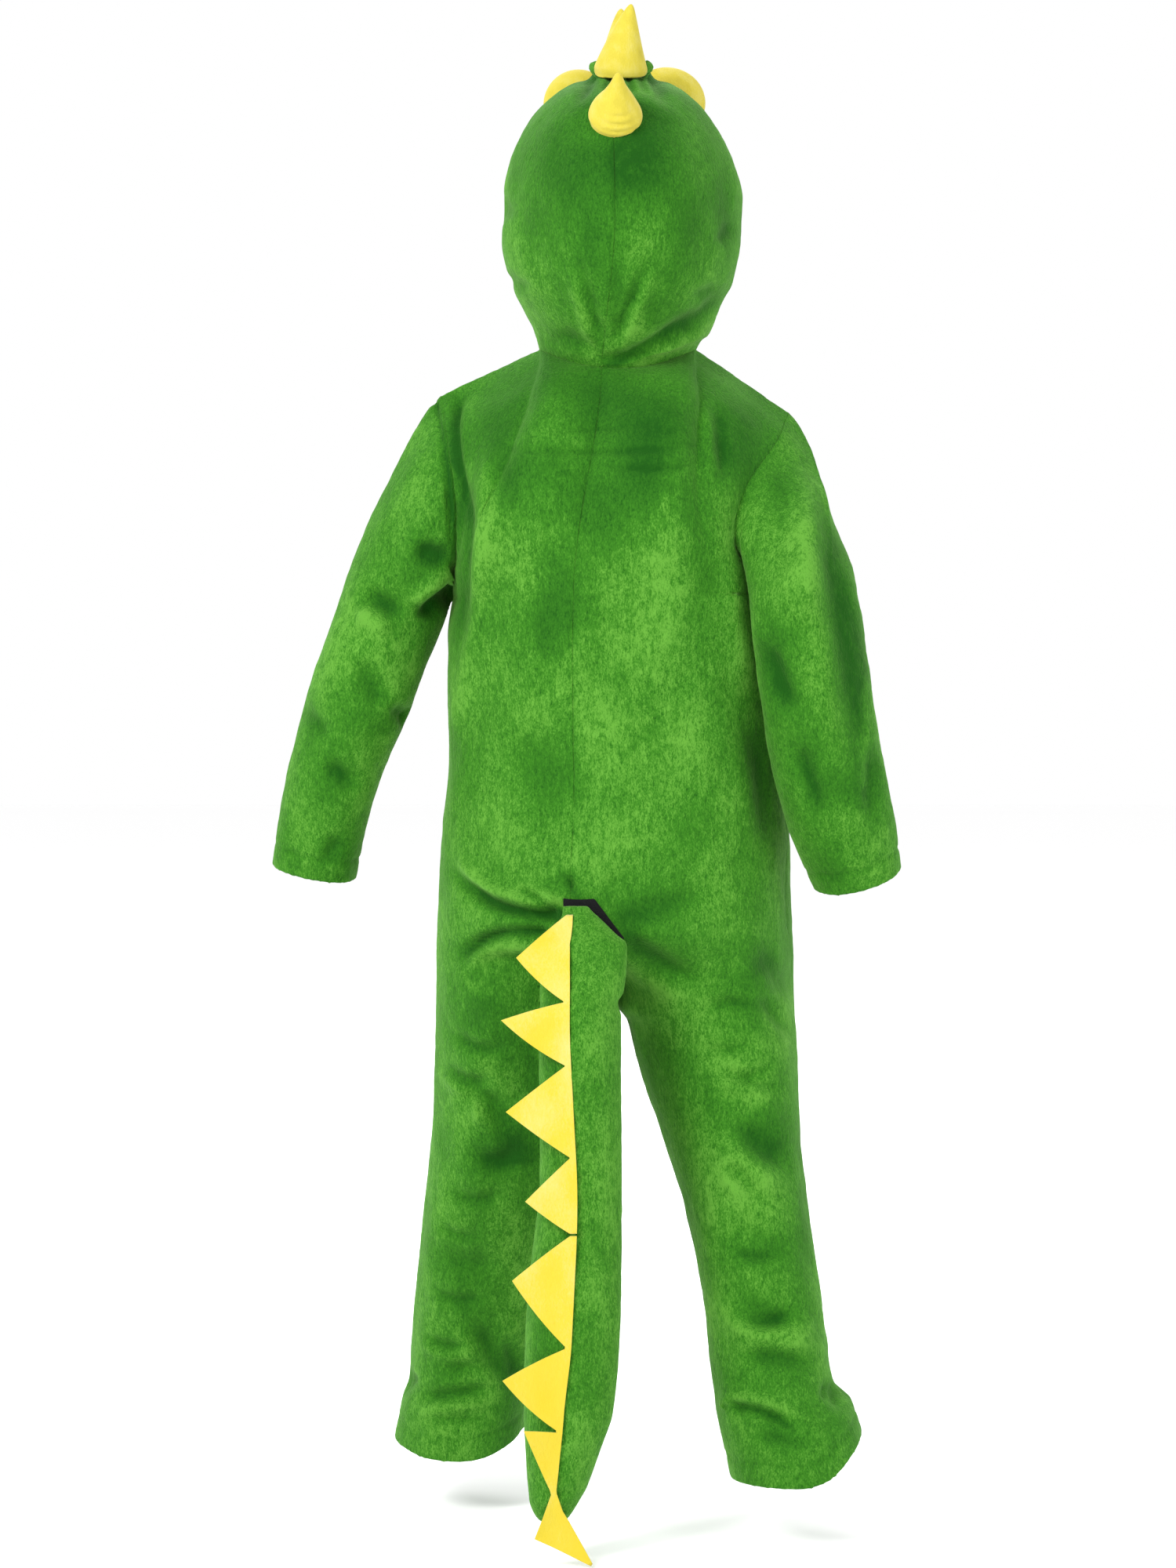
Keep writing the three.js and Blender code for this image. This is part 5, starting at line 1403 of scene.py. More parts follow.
def pile_material(name, tones, backing, look):
    """Plush: brushed pile and painted shade through a colour ramp, knit backing on the inside, bump and
    sheen.
    """
    material = bpy.data.materials.get(name)
    if material:
        return material
    material, tree, shader = blank_material(name)
    inside = set_node(tree, "ShaderNodeAttribute", (-1100, 100), attribute_name="inside")
    # The pieces' tone: brushed pile, and the painted shade and light of folds, grooves, stitches and the
    # tail's side
    tone_and_shade = set_node(tree, "ShaderNodeAttribute", (-1100, -150), attribute_name="tone_and_shade")
    pile = set_node(tree, "ShaderNodeGroup", (-850, 100), node_tree=pile_group())
    for layer, strength in zip(PILE_LAYERS, look.layers):
        pile.inputs[layer[0]].default_value = strength
    where = set_node(tree, "ShaderNodeTexCoord", (-1100, 300))
    tree.links.new(where.outputs["Object"], pile.inputs["Place"])
    tree.links.new(tone_and_shade.outputs["Fac"], pile.inputs["Brushed and shaded"])
    colours = ramp(tree, tones, (-480, 100))
    tree.links.new(math_node(tree, (-650, 100), "ADD", pile.outputs["Tone"], 0.5), colours.inputs["Fac"])
    mix = set_node(tree, "ShaderNodeMix", (-180, 100), data_type="RGBA")
    mix.inputs[MIX.second].default_value = (*backing, 1)
    tree.links.new(inside.outputs["Fac"], mix.inputs[MIX.factor])
    tree.links.new(colours.outputs["Color"], mix.inputs[MIX.first])
    tree.links.new(mix.outputs[MIX.result], shader.inputs["Base Color"])
    add_bump(tree, shader, pile.outputs["Height"], (-180, -250), look.bump, PILE_HEIGHT)
    set_values(shader, Roughness=0.82, Specular_IOR_Level=0.12)
    set_values(shader, Sheen_Weight=look.sheen, Sheen_Roughness=look.sheen_rough)
    set_values(shader, Sheen_Tint=(*look.sheen_tint, 1))
    return material


def plush_material():
    """Green plush with a brushed nap."""
    colour = bpy.context.scene.costume_colours
    tones = ((0.1, colour.plush_dark), (0.5, colour.plush), (0.95, colour.plush_light))
    backing = tuple(0.5 * (a + b) for a, b in zip(colour.plush, colour.plush_light))
    return pile_material("green plush", tones, backing, PLUSH_LOOK)


def yellow_material():
    """Short yellow plush of the cones and eyes."""
    colour = bpy.context.scene.costume_colours
    dark = tuple(0.78 * v for v in colour.yellow)
    tones = ((0.0, dark), (0.5, colour.yellow), (1.0, colour.yellow_light))
    return pile_material("yellow plush", tones, colour.yellow, YELLOW_LOOK)


def felt_material():
    """Crisp yellow felt of the plates: faint fibres and an even tone."""
    colour = bpy.context.scene.costume_colours
    tones = ((0.1, colour.felt_deep), (0.5, colour.felt), (0.9, colour.yellow_light))
    return pile_material("yellow felt", tones, colour.felt, FELT_LOOK)


def tape_material():
    """Black hook-and-loop tape: a field of small loops on a matt weave."""
    material = bpy.data.materials.get("black tape")
    if material:
        return material
    material, tree, shader = blank_material("black tape")
    where = set_node(tree, "ShaderNodeTexCoord", (-900, 0))
    loops = set_node(tree, "ShaderNodeTexVoronoi", (-700, 0), Scale=900.0)
    tree.links.new(where.outputs["Object"], loops.inputs["Vector"])
    tone = bpy.context.scene.costume_colours.tape
    light = tuple(v * 2.4 for v in tone)
    colours = ramp(tree, ((0.2, tone), (0.9, light)), (-450, 100))
    tree.links.new(loops.outputs["Distance"], colours.inputs["Fac"])
    tree.links.new(colours.outputs["Color"], shader.inputs["Base Color"])
    add_bump(tree, shader, loops.outputs["Distance"], (-250, -200), 0.6, LOOP_HEIGHT)
    set_values(shader, Roughness=0.75, Specular_IOR_Level=0.15)
    return material


# How each kind of piece is made: the name of its folds and of its brushed places and painted shade, whether
# back and front are told apart by place rather than by the way that the cloth faces, what lies behind its
# seams, whether its last row is a hem, and the seed of its grain
STYLES = {
    "body": SimpleNamespace(kind="body", by_place=False, inside=spine, hemmed=1, seed=11),
    "sleeve": SimpleNamespace(kind="sleeve", by_place=False, inside=spine, hemmed=1, seed=12),
    "hood": SimpleNamespace(kind="hood", by_place=True, inside=head_middle, hemmed=0, seed=13),
}


# Grid of a body panel: columns and their length, rows above the underarm and their length, rows below it,
# and distances of the first rows from the top edge and of the last ones from the hem
PANEL = SimpleNamespace(
    columns=76,
    wide=245,
    upper_rows=78,
    upper_tall=230,
    lower_rows=228,
    first=(0.3, 0.9, 1.8, 2.9),
    last=(3.0, 2.0, 1.0, 0.4, 0.0),
)


def panel_points(side, face):
    """Grid of a body panel from its top edge to its hem, its edges set back from the seams."""
    u = edge_spaced(PANEL.columns, PANEL.wide)
    upper = np.linspace(0, 1, PANEL.upper_rows)
    upper[1:5] = np.array(PANEL.first) / PANEL.upper_tall
    lower = UNDERARM + (HEM_ROW - UNDERARM) * np.linspace(0, 1, PANEL.lower_rows)[1:]
    ending = HEM_ROW + np.array(PANEL.last)
    lower = np.concatenate([lower[lower > ending[0] + 1], ending])
    t, ut = np.meshgrid(upper, u, indexing="ij")
    z, uz = np.meshgrid(lower, u, indexing="ij")
    points = np.concatenate([upper_point(side, face, ut, t), lower_point(side, face, uz, z)])
    rows = len(upper)
    inseam = np.concatenate([np.zeros(rows), lower]) < CROTCH
    points[~inseam, 0, 0] += side * SEAM
    points[inseam, 0, 1] += face * SEAM
    points[:rows, -1, 0] -= side * SEAM
    points[rows - 1:, -1, 1] += face * SEAM
    points[0, :, 2] -= SEAM
    return points


# Calm places: distances from the crotch at which folds start and are full, the seat tape's middle, half-sizes
# and fade, and the heights and distances from the centre front between which folds end over the closing
CALM_CROTCH = (6, 26)
CALM_TAPE = SimpleNamespace(x=19, z=-489, half_wide=30, half_tall=22, fade=7)
CLOSING_END = (-560, -520)
CLOSING_SIDE = (34, 52)


def calm_places(points, face):
    """Where folds die away: at the armhole and crotch, by the seat tape, and by the closing tapes in front.

    Each is a smooth step of the distance to that place, and they are multiplied.
    """
    x, z = points[..., 0], points[..., 2]
    across = run_length(points, 1)
    armhole = step(0, EDGE.calm, across[:, -1:] - across + EDGE.far * (z < UNDERARM))
    crotch = step(*CALM_CROTCH, np.hypot(across, z - CROTCH))
    if face > 0:
        tape = CALM_TAPE
        off_x = np.maximum(0, np.abs(x - tape.x) - tape.half_wide)
        off_z = np.maximum(0, np.abs(z - tape.z) - tape.half_tall)
        return armhole * crotch * step(0, tape.fade, np.hypot(off_x, off_z))
    below_closing = 1 - step(*CLOSING_END, z)
    return armhole * crotch * np.maximum(step(*CLOSING_SIDE, across), below_closing)


def length_property(name, description, default):
    """A length of the panel, in metres."""
    return bpy.props.FloatProperty(name=name, description=description, default=default, unit="LENGTH")


def factor_property(name, description, default):
    """A plain factor of the panel."""
    return bpy.props.FloatProperty(name=name, description=description, default=default, subtype="FACTOR")


def colour_property(name, description, default):
    """A colour of the panel."""
    return bpy.props.FloatVectorProperty(name=name, description=description, default=default, subtype="COLOR")


class CostumeSizes(bpy.types.PropertyGroup):
    """Sizes of the cloth."""

    plush: length_property("Plush", "Thickness of the plush", 0.0025)
    fold_depth: factor_property("Folds", "Depth of the folds", 1.7)
    # Painted shade: the tone is darkened in the folds' troughs and lightened on their swells and ridges
    fold_shade: factor_property("Fold shade", "How much darker the pile is in the folds", 0.2)
    wave_height: length_property("Waves", "Height of soft waves", 0.0013)
    seam_depth: length_property("Seams", "Depth of the groove at a seam", 0.0007)
    seam_roll: length_property("Seam edges", "Roll of a sewn edge", 0.00035)
    # Contrast of the brushed places and of the painted shade that shares their table
    nap_and_shade_contrast: factor_property("Brushed and shaded", "Contrast of brushed places", 0.3)
    hem_width: length_property("Hems", "Width of turned hems", 0.02)


class CostumeColours(bpy.types.PropertyGroup):
    """Colours of the cloth."""

    # The ramp's dark and light ends serve both the brushed pile and the painted shade and light of folds and
    # grooves
    plush: colour_property("Plush", "Middle tone of the green plush", (0.027, 0.147, 0.006))
    plush_light: colour_property("Brushed up", "Plush where the pile catches light", (0.085, 0.262, 0.026))
    plush_dark: colour_property("Brushed down", "Plush where the pile lies in shade", (0.004, 0.06, 0.0008))
    yellow: colour_property("Cones", "Yellow of the cones and eyes", (0.5, 0.42, 0.045))
    yellow_light: colour_property("Light yellow", "Lightest yellow fibres", (0.55, 0.49, 0.14))
    felt: colour_property("Felt", "Yellow of the felt plates", (0.56, 0.44, 0.035))
    felt_deep: colour_property("Deep felt", "Deepest yellow of the plates", (0.55, 0.41, 0.014))
    tape: colour_property("Tape", "Black of the tapes", (0.002, 0.002, 0.0024))


class COSTUME_OT_body(bpy.types.Operator):
    """Make the four body panels, from neck and shoulder to hem"""

    bl_idname = "costume.body"
    bl_label = "Body panels"

    def execute(self, context):
        for side, side_name in SIDES:
            for face, face_name in ((1, "back"), (-1, "front")):
                points = panel_points(side, face)
                node = f"{face_name}_{side_name}"
                calm = calm_places(points, face)
                piece = cloth("plush_" + node, points, side * face, STYLES["body"], calm=calm)
                declare_cloth(piece, node)
        return {"FINISHED"}


# Rows of a sleeve at its armhole and at its cuff, where they lie closer together
SLEEVE_STARTS = (0, 0.0015, 0.005, 0.01)
SLEEVE_ENDS = (0.99, 0.995, 0.998, 1)


class COSTUME_OT_sleeves(bpy.types.Operator):
    """Make the two sleeves, from the armhole to the cuff"""

    bl_idname = "costume.sleeves"
    bl_label = "Sleeves"

    def execute(self, context):
        share = (np.linspace(0, 1, 101)[:-1] + 0.5) % 1
        head = np.concatenate([SLEEVE_STARTS, np.linspace(0.016, 1, 74)])
        free = 1 + np.concatenate([np.linspace(0, 0.985, 92)[1:], SLEEVE_ENDS])
        row, around = np.meshgrid(np.concatenate([head, free]), share, indexing="ij")
        for side, side_name in SIDES:
            points = sleeve_point(side, around, row)
            piece = cloth("plush_sleeve_" + side_name, points, -side, STYLES["sleeve"], wrap=True)
            declare_cloth(piece, "sleeve_" + side_name)
        return {"FINISHED"}


# Edge angles at which the hood's two halves begin to meet in front and at which they do,
# and the place round which the hood is calm under the rear cone
MEET_START = 80
MEET = 89.5
REAR_CONE = (1, 97, 198)


def hood_grid(side, u, v):
    """Grid of a hood half with its edges set back from the seams, and how far each row is sewn in front."""
    rows, across = np.meshgrid(v, u, indexing="ij")
    points = hood_point(side, across, rows)
    edge = column(HOOD, "edge", v, "v")
    points[:, 0, 0] += side * SEAM
    points[edge > MEET, -1, 0] += side * SEAM
    points[0, :, 2] += SEAM
    return points, step(MEET_START, MEET, edge)


class COSTUME_OT_hood(bpy.types.Operator):
    """Make the two halves of the hood"""

    bl_idname = "costume.hood"
    bl_label = "Hood"

    def execute(self, context):
        v = np.concatenate([[0, 0.001, 0.003, 0.006], np.linspace(0.01, 0.985, 126)])
        for side, side_name in SIDES:
            points, sewn = hood_grid(side, edge_spaced(86, 250), v)
            calm = step(20, 45, np.linalg.norm(points - np.array(REAR_CONE), axis=-1))
            piece = cloth("plush_hood_" + side_name, points, -side, STYLES["hood"], sewn_side=sewn, calm=calm)
            declare_cloth(piece, "hood_" + side_name)
        return {"FINISHED"}


def hood_block():
    """The hood as a filled solid a little under its outer face, which trims what is sewn on to it."""
    share, floor = 0.99, -20.0
    u = np.linspace(0, 1, 41)
    v = np.linspace(0, 1, 61)
    halves = [hood_grid(side, u, v)[0] for side, _ in SIDES]
    rings = np.concatenate([halves[0], halves[1][:, -2:0:-1]], axis=1)
    middle = np.array(HOOD_MIDDLE)
    rings = middle + (rings - middle) * share
    rings = np.concatenate([np.broadcast_to([NECK.x, 0, floor], rings[:1].shape), rings])
    faces = quads(grid_index(*rings.shape[:2]), True)
    flat = np.zeros((len(faces), 4, 2))
    block = make_object("hood block", rings.reshape(-1, 3), faces, flat, {}, felt_material())
    weld = block.modifiers.new("weld", "WELD")
    weld.merge_threshold = 0.00005
    return block


def trim(piece, block):
    """Cuts the block's space off a piece and keeps the result, smooth, as its mesh."""
    cut = piece.modifiers.new("trim", "BOOLEAN")
    cut.operation = "DIFFERENCE"
    cut.solver = "EXACT"
    cut.object = block
    depsgraph = bpy.context.evaluated_depsgraph_get()
    mesh = bpy.data.meshes.new_from_object(piece.evaluated_get(depsgraph))
    piece.modifiers.clear()
    piece.data = mesh
    mesh.polygons.foreach_set("use_smooth", np.ones(len(mesh.polygons), bool))


def ring_piece(name, rings, tone_and_shade, material):
    """Mesh object of closed rings of points."""
    rows, columns = rings.shape[:2]
    faces = quads(grid_index(rows, columns), True)
    flat = sheet_map(rows, columns, True, 0)
    return make_object(name, rings.reshape(-1, 3), faces, flat, {"tone_and_shade": tone_and_shade.ravel()}, material)


def ring_angles():
    """Angles of the points of a stuffed piece's rings."""
    return np.arange(STUFFED_COLUMNS) * 2 * math.pi / STUFFED_COLUMNS


def turned_piece(name, radius, centre, axes, material):
    """Closed surface round a bent line: its radius, height by angle, along two axes by cosine and sine."""
    angle = ring_angles()[:, None]
    ring = axes[0] * np.cos(angle) + axes[1] * np.sin(angle)
    points = centre[:, None, :] + radius[..., None] * ring[None]
    return ring_piece(name, points, 0.12 * waves(points, 21, 14, 1.4), material)


def seam_bell(angle, place_at, width):
    """A bell round a seam's angle, which wraps at a full turn."""
    return bell(np.angle(np.exp(1j * (angle - place_at))), width)


# Creases low on a cone: their shares of its height, depth, half-height, angle round it and half-width,
# and its seam's depth, angle and half-width
CREASE = SimpleNamespace(heights=(0.14, 0.27, 0.4), deep=3, high=0.03, angle=1.8, wide=0.8)
CONE_SEAM = SimpleNamespace(deep=0.8, angle=2.4, wide=0.12)


def cone_piece(name, cone):
    """Stuffed cone with a soft tip, bent and creased a little.

    The radius at a share s of its height is the root of (1 - s)(1 - s + 2 blunt) / (1 + 2 blunt), and a waist
    times a full sine. It is tucked in at the base by a bell, creased by a swirl of two waves
    round the cone and three folds low down, and drawn in at its seam. The tip bends by the share squared.
    """
    e, s = math.radians(cone.elevation), math.radians(cone.lean)
    axis = np.array([math.sin(s), math.cos(e) * math.cos(s), math.sin(e) * math.cos(s)])
    upright = (0, 0, 1.0) if cone.elevation < 60 else (0, 1.0, 0)
    first = unit(np.cross(axis, upright))
    foot = np.linspace(-CONE_SINK / cone.long, 0.02, 12)[:-1]
    h = np.concatenate([foot, 1 - np.linspace(0.98**0.5, 0, 60) ** 2])
    share = np.clip(h, 0, 1)
    up = share[:, None]
    profile = np.sqrt((1 - share) * (1 - share + 2 * cone.blunt) / (1 + 2 * cone.blunt))
    profile = profile + cone.waist * np.sin(2 * math.pi * share)
    tuck = 1 - 0.1 * bell(h, 0.07)
    angle = ring_angles()
    swirl = np.sin(2 * angle + 9 * up + 1) * bell(up - 0.4, 0.25)
    for height in CREASE.heights:
        swirl -= CREASE.deep * bell(up - height, CREASE.high) * bell(angle - CREASE.angle, CREASE.wide)
    seam = CONE_SEAM.deep * seam_bell(angle, CONE_SEAM.angle, CONE_SEAM.wide) * (1 - up)
    radius = np.maximum((cone.wide * profile * tuck)[:, None] + cone.crease * swirl - seam, 0.05)
    bend = np.array([cone.bend_left, 0, cone.bend_up])
    base = np.array([cone.x, cone.y, cone.z], float)
    centre = base + axis * (h * cone.long)[:, None] + bend * (up**2)
    return turned_piece(name, radius, centre, (first, np.cross(axis, first)), yellow_material())


def eye_piece(name, eye):
    """Padded eye: an ellipsoid by cosine and sine of its height's angle, drawn in by a bell at its seam."""
    half_x, half_y, half_z = eye.half
    angle = np.linspace(-QUARTER, QUARTER, 56)
    profile = np.cos(angle).clip(0.002)[:, None] * np.ones(STUFFED_COLUMNS)
    x, y, z = eye.middle
    centre = place(x, y, z + half_z * np.sin(angle))
    axes = (np.array([1.0, 0, 0]), np.array([0, half_y / half_x, 0]))
    seam = 0.7 * seam_bell(ring_angles(), 0, 0.1) * profile
    return turned_piece(name, half_x * profile - seam, centre, axes, yellow_material())


class COSTUME_OT_cones(bpy.types.Operator):
    """Make the three cones and the two eyes, trimmed to the hood"""

    bl_idname = "costume.cones"
    bl_label = "Cones and eyes"

    def execute(self, context):
        block = hood_block()
        pieces = {name: cone_piece("stuffed_" + name, row) for name, row in CONES.items()}
        pieces.update({name: eye_piece("padded_" + name, row) for name, row in EYES.items()})
        for node, piece in pieces.items():
            trim(piece, block)
            declare(piece, node)
        bpy.data.objects.remove(block)
        return {"FINISHED"}


def tail_relief(outer, rows, side):
    """Height of the tail's cloth over its section, by the distance to its seams.

    It is soft waves and pile tips, less grooves that die away from both seams, puckers along the
    ridge seam, and two pinches, which are bells of the height.
    """
    across, along = run_length(outer, 1), run_length(outer, 0)
    to_ridge, to_under = across, across[:, -1:] - across
    seam_line = np.stack([0 * along, 0 * along, along], axis=-1)
    pull = 1 + 0.7 * waves(seam_line, 41 + side, 12, 1)
    groove = 0.8 * np.exp(-to_ridge / 3) + 1.5 * np.exp(-to_under / 4)
    pucker = 1.1 * np.exp(-to_ridge / 14) * waves(seam_line, 51 + side, 13, 1)
    pinch = 2.2 * bell(rows + 750, 6) * np.exp(-to_ridge / 20)
    pinch += 1.2 * bell(rows + 786 - 0.4 * to_ridge, 5) * bell(to_ridge - 22, 16)
    height = 1.2 * waves(outer, 61, 70, 2) + EDGE.tufts * tufts(across.shape, 71 + side) + 0.8
    return height - groove * pull + pucker - pinch


def tail_half(side, name):
    """Half of the tail: an arc from the ridge seam round to the under seam, closed along the seam plane.

    Where the tail lies on the seat it is kept off the seat's cloth. Both ends are closed by rings
    that shrink to the middle of the end.
    """
    seat_end, off_seat = -545, 4.3
    z = np.concatenate([[-476, -477, -478.5], np.linspace(-481, -996, 190), [-998, -999.4, -1000]])
    start = np.radians(column(TAIL, "ridge", z))[:, None]
    angle = start + side * math.pi * edge_spaced(44, 105)[None]
    rows = z[:, None] + 0 * angle
    outer = tail_ring(rows, angle)
    steep, deep = np.sin(angle) / column(TAIL, "wide", rows), np.cos(angle) / column(TAIL, "deep", rows)
    outer = outer + unit(place(steep, deep, 0)) * tail_relief(outer, rows, side)[..., None]
    seat = seat_point(outer[..., 0], np.maximum(rows, seat_end))[..., 1] + off_seat
    outer[..., 1] = np.where(rows > seat_end, np.maximum(outer[..., 1], seat), outer[..., 1])
    back = np.linspace(0, 1, 8)[None, 1:-1, None]
    flat = outer[:, -1:] + (outer[:, :1] - outer[:, -1:]) * back
    points = np.concatenate([outer, flat], axis=1) + side * SEAM * place(np.cos(start), -np.sin(start), 0)
    middle = points.mean(axis=1, keepdims=True)
    opening = [middle[:1] + (points[:1] - middle[:1]) * k for k in (0.001, 0.6)]
    closing = [middle[-1:] + (points[-1:] - middle[-1:]) * k for k in (0.6, 0.001)]
    points = np.concatenate(opening + [points] + closing)
    wander = wander_of(points, TAIL_WANDER)
    # Brushed tone with painted shade on the tail's left side and in its pinches, a little lighter overall
    tone_and_shade = 0.5 * nap_and_shade_tone(points, np.ones(points.shape[:2]), NAP_AND_SHADE["tail"], wander) + 0.08
    return ring_piece(name, points, tone_and_shade, plush_material())


class COSTUME_OT_tail(bpy.types.Operator):
    """Make the two stuffed halves of the tail"""

    bl_idname = "costume.tail"
    bl_label = "Tail"

    def execute(self, context):
        for side, side_name in SIDES:
            piece = tail_half(side, "stuffed_tail_" + side_name)
            declare(piece, "tail_" + side_name)
        return {"FINISHED"}


def to_nearest_edge(points):
    """Distances of a grid's points to its nearer side and to its nearer end."""
    across, along = run_length(points, 1), run_length(points, 0)
    return np.minimum(across, across[:, -1:] - across), np.minimum(along, along[-1:] - along)


def felt_tooth(top, bottom, tip_x, tip_z, bulge, curl):
    """One plate: its inner ends down the ridge, its outer edge by way of the tip, and its curl.

    Both sides of the tooth are straight lines from a valley to the tip, plus a parabola of the climb
    that bulges the lower side and hollows the upper one. The curl grows with the climb squared.
    """
    tip_share = max(0.12, min(0.9, (top - tip_z) / (top - bottom)))
    share = np.concatenate([np.linspace(0, tip_share, 26), np.linspace(tip_share, 1, 34)[1:]])
    z = top + (bottom - top) * share
    above = share < tip_share
    climb = np.where(above, share / tip_share, (1 - share) / (1 - tip_share))
    valley = np.where(above, top, bottom)
    start = np.stack([ridge_point(valley)[:, 0] + PLATE.band, valley], axis=-1)
    tip = np.array([tip_x, tip_z])
    arch = 4 * climb * (1 - climb) * np.where(above, -0.3, 1) * bulge
    run = unit(tip - start)
    edge = start + (tip - start) * climb[:, None] + arch[:, None] * np.stack([run[:, 1], -run[:, 0]], axis=-1)
    return np.stack([ridge_point(z)[:, 0] - 1, z], axis=-1), edge, curl * climb**2


def last_plate():
    """The plate over the tail's tip: its right and left edges, and its curl, half a sine along it."""
    places = len(LAST_PLATE["right_x"])
    share = np.linspace(0, places - 1, 46)
    sides = [np.interp(share, np.arange(places), LAST_PLATE[name]) for name in LAST_PLATE]
    curl = 1.5 * np.sin(share / (places - 1) * math.pi)
    return np.stack(sides[:2], axis=-1), np.stack(sides[2:], axis=-1), curl


def plate_strip(node):
    """Strip of felt plates: rows climb along the zigzag while their inner ends run down the ridge.

    The felt lies off the ridge by its lift, its rise times the distance to the ridge, and its curl
    times the share across squared. Under the tail's tip it hangs straight down, with a soft turn.
    """
    plates = [felt_tooth(*row) for row in zip(*PLATES[node].values())]
    if node == "plates_lower":
        plates.append(last_plate())
    inner, outer, curls = (np.concatenate(part) for part in zip(*plates))
    share = edge_spaced(26, 45, 1.4)[None, :, None]
    flat = inner[:, None] + (outer - inner)[:, None] * share
    x, z = flat[..., 0], flat[..., 1]
    ridge = ridge_point(PLATE.hang + PLATE.soft * np.log1p(np.exp((z - PLATE.hang) / PLATE.soft)))
    away = np.abs(x - ridge[..., 0])
    wobble = 0.6 * waves(place(x, 0, z), 81, 30, 1) * np.minimum(1, away / 15)
    lift = PLATE.lift + PLATE.rise * away + curls[:, None] * share[..., 0] ** 2 + wobble
    outline = place(x, ridge[..., 1] + lift, z)
    thick = bpy.context.scene.costume_sizes.plush / MM * PLATE.thick
    rounding = rounded(np.minimum(*to_nearest_edge(outline)), 0.4)
    offset = place(0, 1, 0) * (thick / 2 * rounding)[..., None]
    middle = outline + (0, thick / 2, 0)
    # Tone of the felt: soft waves, and darker towards the bottom below -760
    tone_and_shade = 0.12 * waves(outline, 83, 40, 1.5) - 0.2 * (1 - step(-900, -760, z)) + 0.1
    return shell("felt_" + node, middle + offset, middle - offset, False, tone_and_shade, felt_material())


class COSTUME_OT_plates(bpy.types.Operator):
    """Make the two strips of felt plates"""

    bl_idname = "costume.plates"
    bl_label = "Felt plates"

    def execute(self, context):
        for node in PLATES:
            piece = plate_strip(node)
            declare_cloth(piece, node)
        return {"FINISHED"}


def tape_strip(node, tape):
    """Strip of tape round the tail's top edge: level from its left end, then sloping to the right."""
    half_thick, slope_run = 0.8, 43
    share = edge_spaced(50, 66, 1.6)
    down = edge_spaced(18, tape.wide, 1.6)
    corner = (tape.left - tape.slope_from) / (tape.left - tape.slope_from + slope_run)
    level = np.clip(share / corner, 0, 1)
    slope = np.clip((share - corner) / (1 - corner), 0, 1)
    top_x = tape.left + (tape.slope_from - tape.left) * level + (tape.right - tape.slope_from) * slope
    top_z = tape.top - tape.slope_drop * slope - 0.8 * np.sin(level * math.pi)
    lean = step(corner - 0.08, corner + 0.08, share)
    x = top_x + 0.8 * lean * tape.wide * down[:, None]
    z = top_z + (0.4 * lean - 1) * tape.wide * down[:, None]
    points = seat_point(x, z)
    middle = points + (0, tape.out, 0)
    offset = place(0, half_thick * rounded(np.minimum(*to_nearest_edge(points)), 0.7), 0)
    return shell("woven_" + node, middle + offset, middle - offset, False, 0 * x, tape_material())


class COSTUME_OT_tapes(bpy.types.Operator):
    """Make the tapes of seat and tail, and give those of the front their finish"""

    bl_idname = "costume.tapes"
    bl_label = "Tapes"

    def execute(self, context):
        for node, tape in TAPES.items():
            declare_cloth(tape_strip(node, tape), node)
        for node in ("tape_hook_front", "tape_loop_front"):
            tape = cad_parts[node]
            for slot in tape.material_slots:
                slot.material = tape_material()
        return {"FINISHED"}


# Floor: half its side and how far it lies under the costume
FLOOR = SimpleNamespace(half=9.0, gap=0.002)
# Lights: name, place, size and power, and the place at which they all aim
LIGHTS = (
    ("key", (2.2, 2.4, 1.9), 1.2, 130),
    ("fill", (-2.6, 2.2, 0.6), 1.6, 45),
    ("back", (0.4, -3.0, 2.4), 2.6, 80),
)
LIT = (0.02, 0, -0.4)
CAMERA = SimpleNamespace(
    place=(0.0245, 4.0, -0.115), target=(0.0245, 0, -0.2665), lens=103.1, sensor=36, shift=-0.08
)


def make_floor():
    """A wide pale floor under the costume."""
    bottom, reach = CAD_BOX[0][2] - FLOOR.gap, FLOOR.half
    mesh = bpy.data.meshes.new("floor")
    corners = [(x * reach, y * reach, bottom) for x, y in ((-1, -1), (1, -1), (1, 1), (-1, 1))]
    mesh.from_pydata(corners, [], [(0, 1, 2, 3)])
    paint, _, shader = blank_material("pale floor")
    set_values(shader, Base_Color=(0.97, 0.97, 0.97, 1), Roughness=0.9)
    mesh.materials.append(paint)
    add_object("floor", mesh)


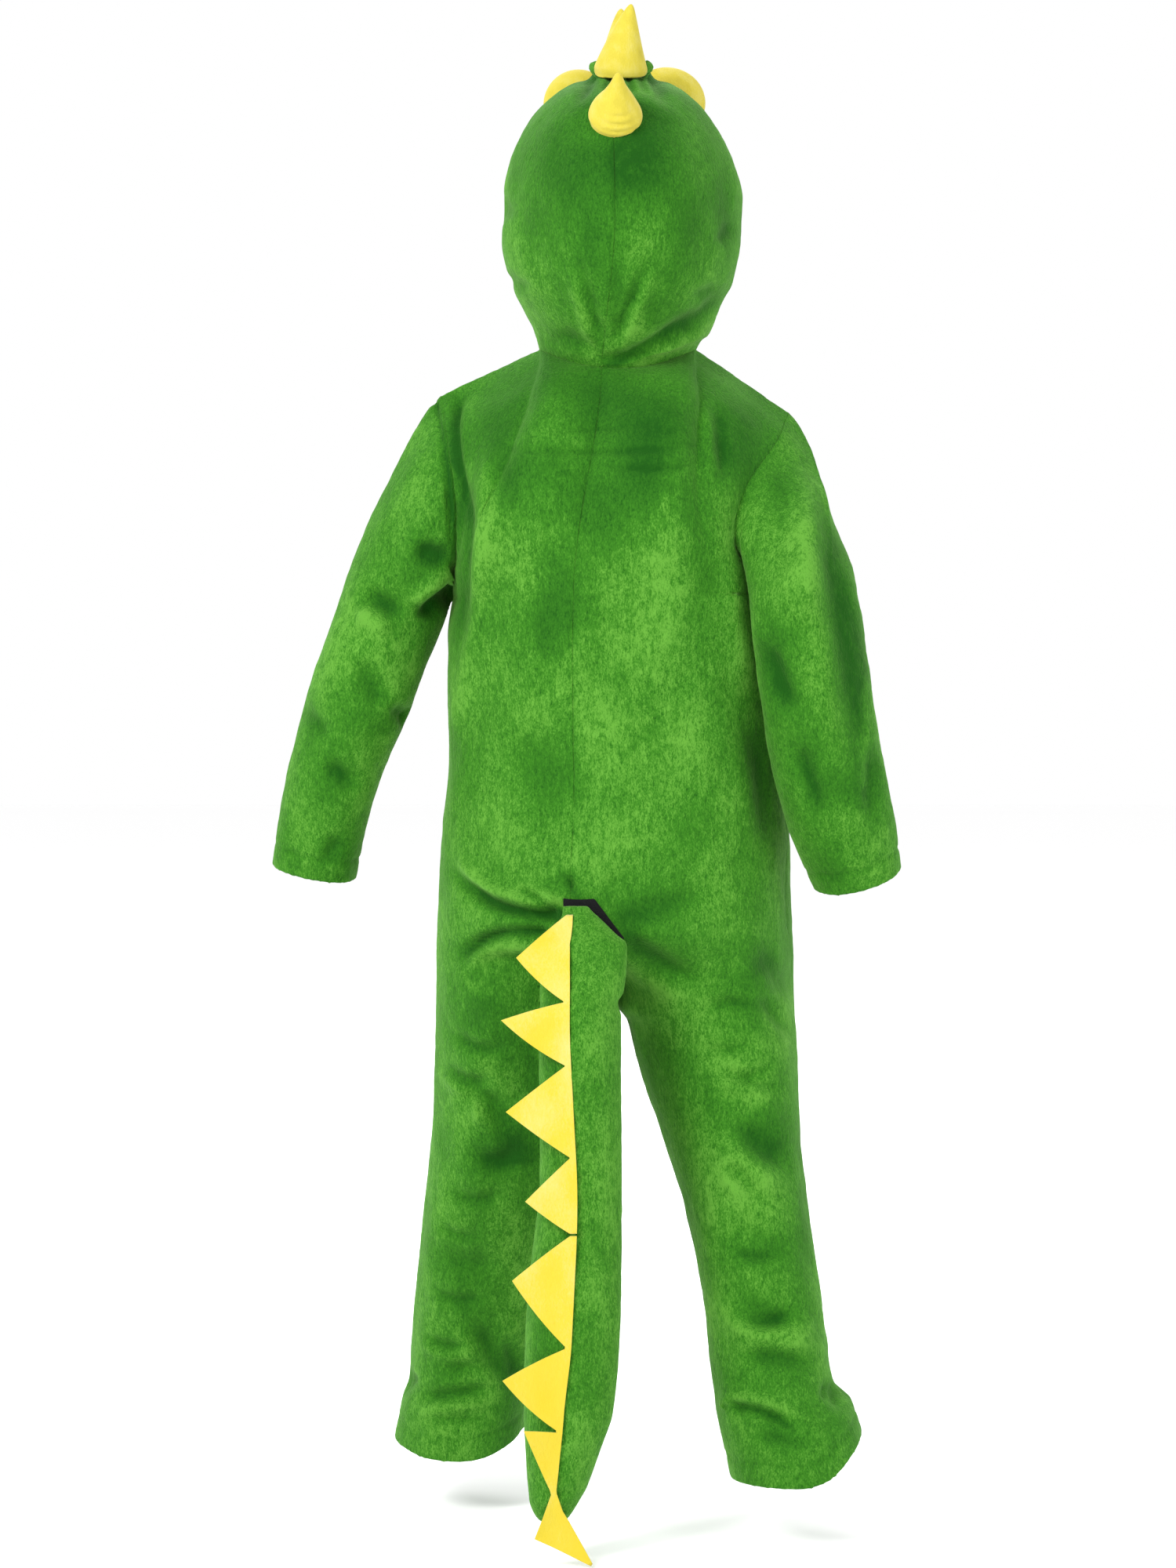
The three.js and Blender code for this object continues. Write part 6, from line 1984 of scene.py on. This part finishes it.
class COSTUME_OT_stage(bpy.types.Operator):
    """Set the floor, the lights and the camera"""

    bl_idname = "costume.stage"
    bl_label = "Stage"

    def execute(self, context):
        make_floor()
        world = bpy.data.worlds.new("studio")
        world.use_nodes = True
        set_values(world.node_tree.nodes["Background"], Color=(1, 1, 1, 1), Strength=1.0)
        context.scene.world = world
        context.scene.view_settings.view_transform = "Standard"
        for name, position, size, power in LIGHTS:
            data = bpy.data.lights.new(name, "AREA")
            data.size = size
            data.energy = power
            lamp = add_object(name, data)
            lamp.location = position
            lamp.rotation_euler = aim(position, LIT)
        lens = bpy.data.cameras.new("photo camera")
        lens.sensor_width = CAMERA.sensor
        lens.lens = CAMERA.lens
        lens.shift_y = CAMERA.shift
        camera = add_object("photo camera", lens)
        camera.location = CAMERA.place
        camera.rotation_euler = aim(CAMERA.place, CAMERA.target)
        context.scene.camera = camera
        return {"FINISHED"}


def aim(position, target):
    """Rotation that turns an object's -Z from a position to a target."""
    x, y, z = (t - p for t, p in zip(target, position))
    return (math.atan2(math.hypot(x, y), -z), 0, math.atan2(y, x) - QUARTER)


OPERATORS = (
    COSTUME_OT_stage,
    COSTUME_OT_body,
    COSTUME_OT_sleeves,
    COSTUME_OT_hood,
    COSTUME_OT_cones,
    COSTUME_OT_tail,
    COSTUME_OT_plates,
    COSTUME_OT_tapes,
)


class COSTUME_PT_panel(bpy.types.Panel):
    """Lists the costume's steps in order"""

    bl_idname = "COSTUME_PT_panel"
    bl_label = "Crocodile costume"
    bl_space_type = "VIEW_3D"
    bl_region_type = "UI"
    bl_category = "Costume"

    def draw(self, context):
        for group in (context.scene.costume_sizes, context.scene.costume_colours):
            for name in type(group).__annotations__:
                self.layout.prop(group, name)
        for operator in OPERATORS:
            self.layout.operator(operator.bl_idname)


CLASSES = (CostumeSizes, CostumeColours, *OPERATORS, COSTUME_PT_panel)


def register():
    """Adds the classes and the scene's two groups of properties."""
    for item in CLASSES:
        bpy.utils.register_class(item)
    bpy.types.Scene.costume_sizes = bpy.props.PointerProperty(type=CostumeSizes)
    bpy.types.Scene.costume_colours = bpy.props.PointerProperty(type=CostumeColours)


def unregister():
    """Takes them away again."""
    del bpy.types.Scene.costume_colours
    del bpy.types.Scene.costume_sizes
    for item in reversed(CLASSES):
        bpy.utils.unregister_class(item)


def main():
    """Builds every piece in order."""
    register()
    bpy.ops.costume.stage()
    bpy.ops.costume.body()
    bpy.ops.costume.sleeves()
    bpy.ops.costume.hood()
    bpy.ops.costume.cones()
    bpy.ops.costume.tail()
    bpy.ops.costume.plates()
    bpy.ops.costume.tapes()


if __name__ == "__main__":
    main()
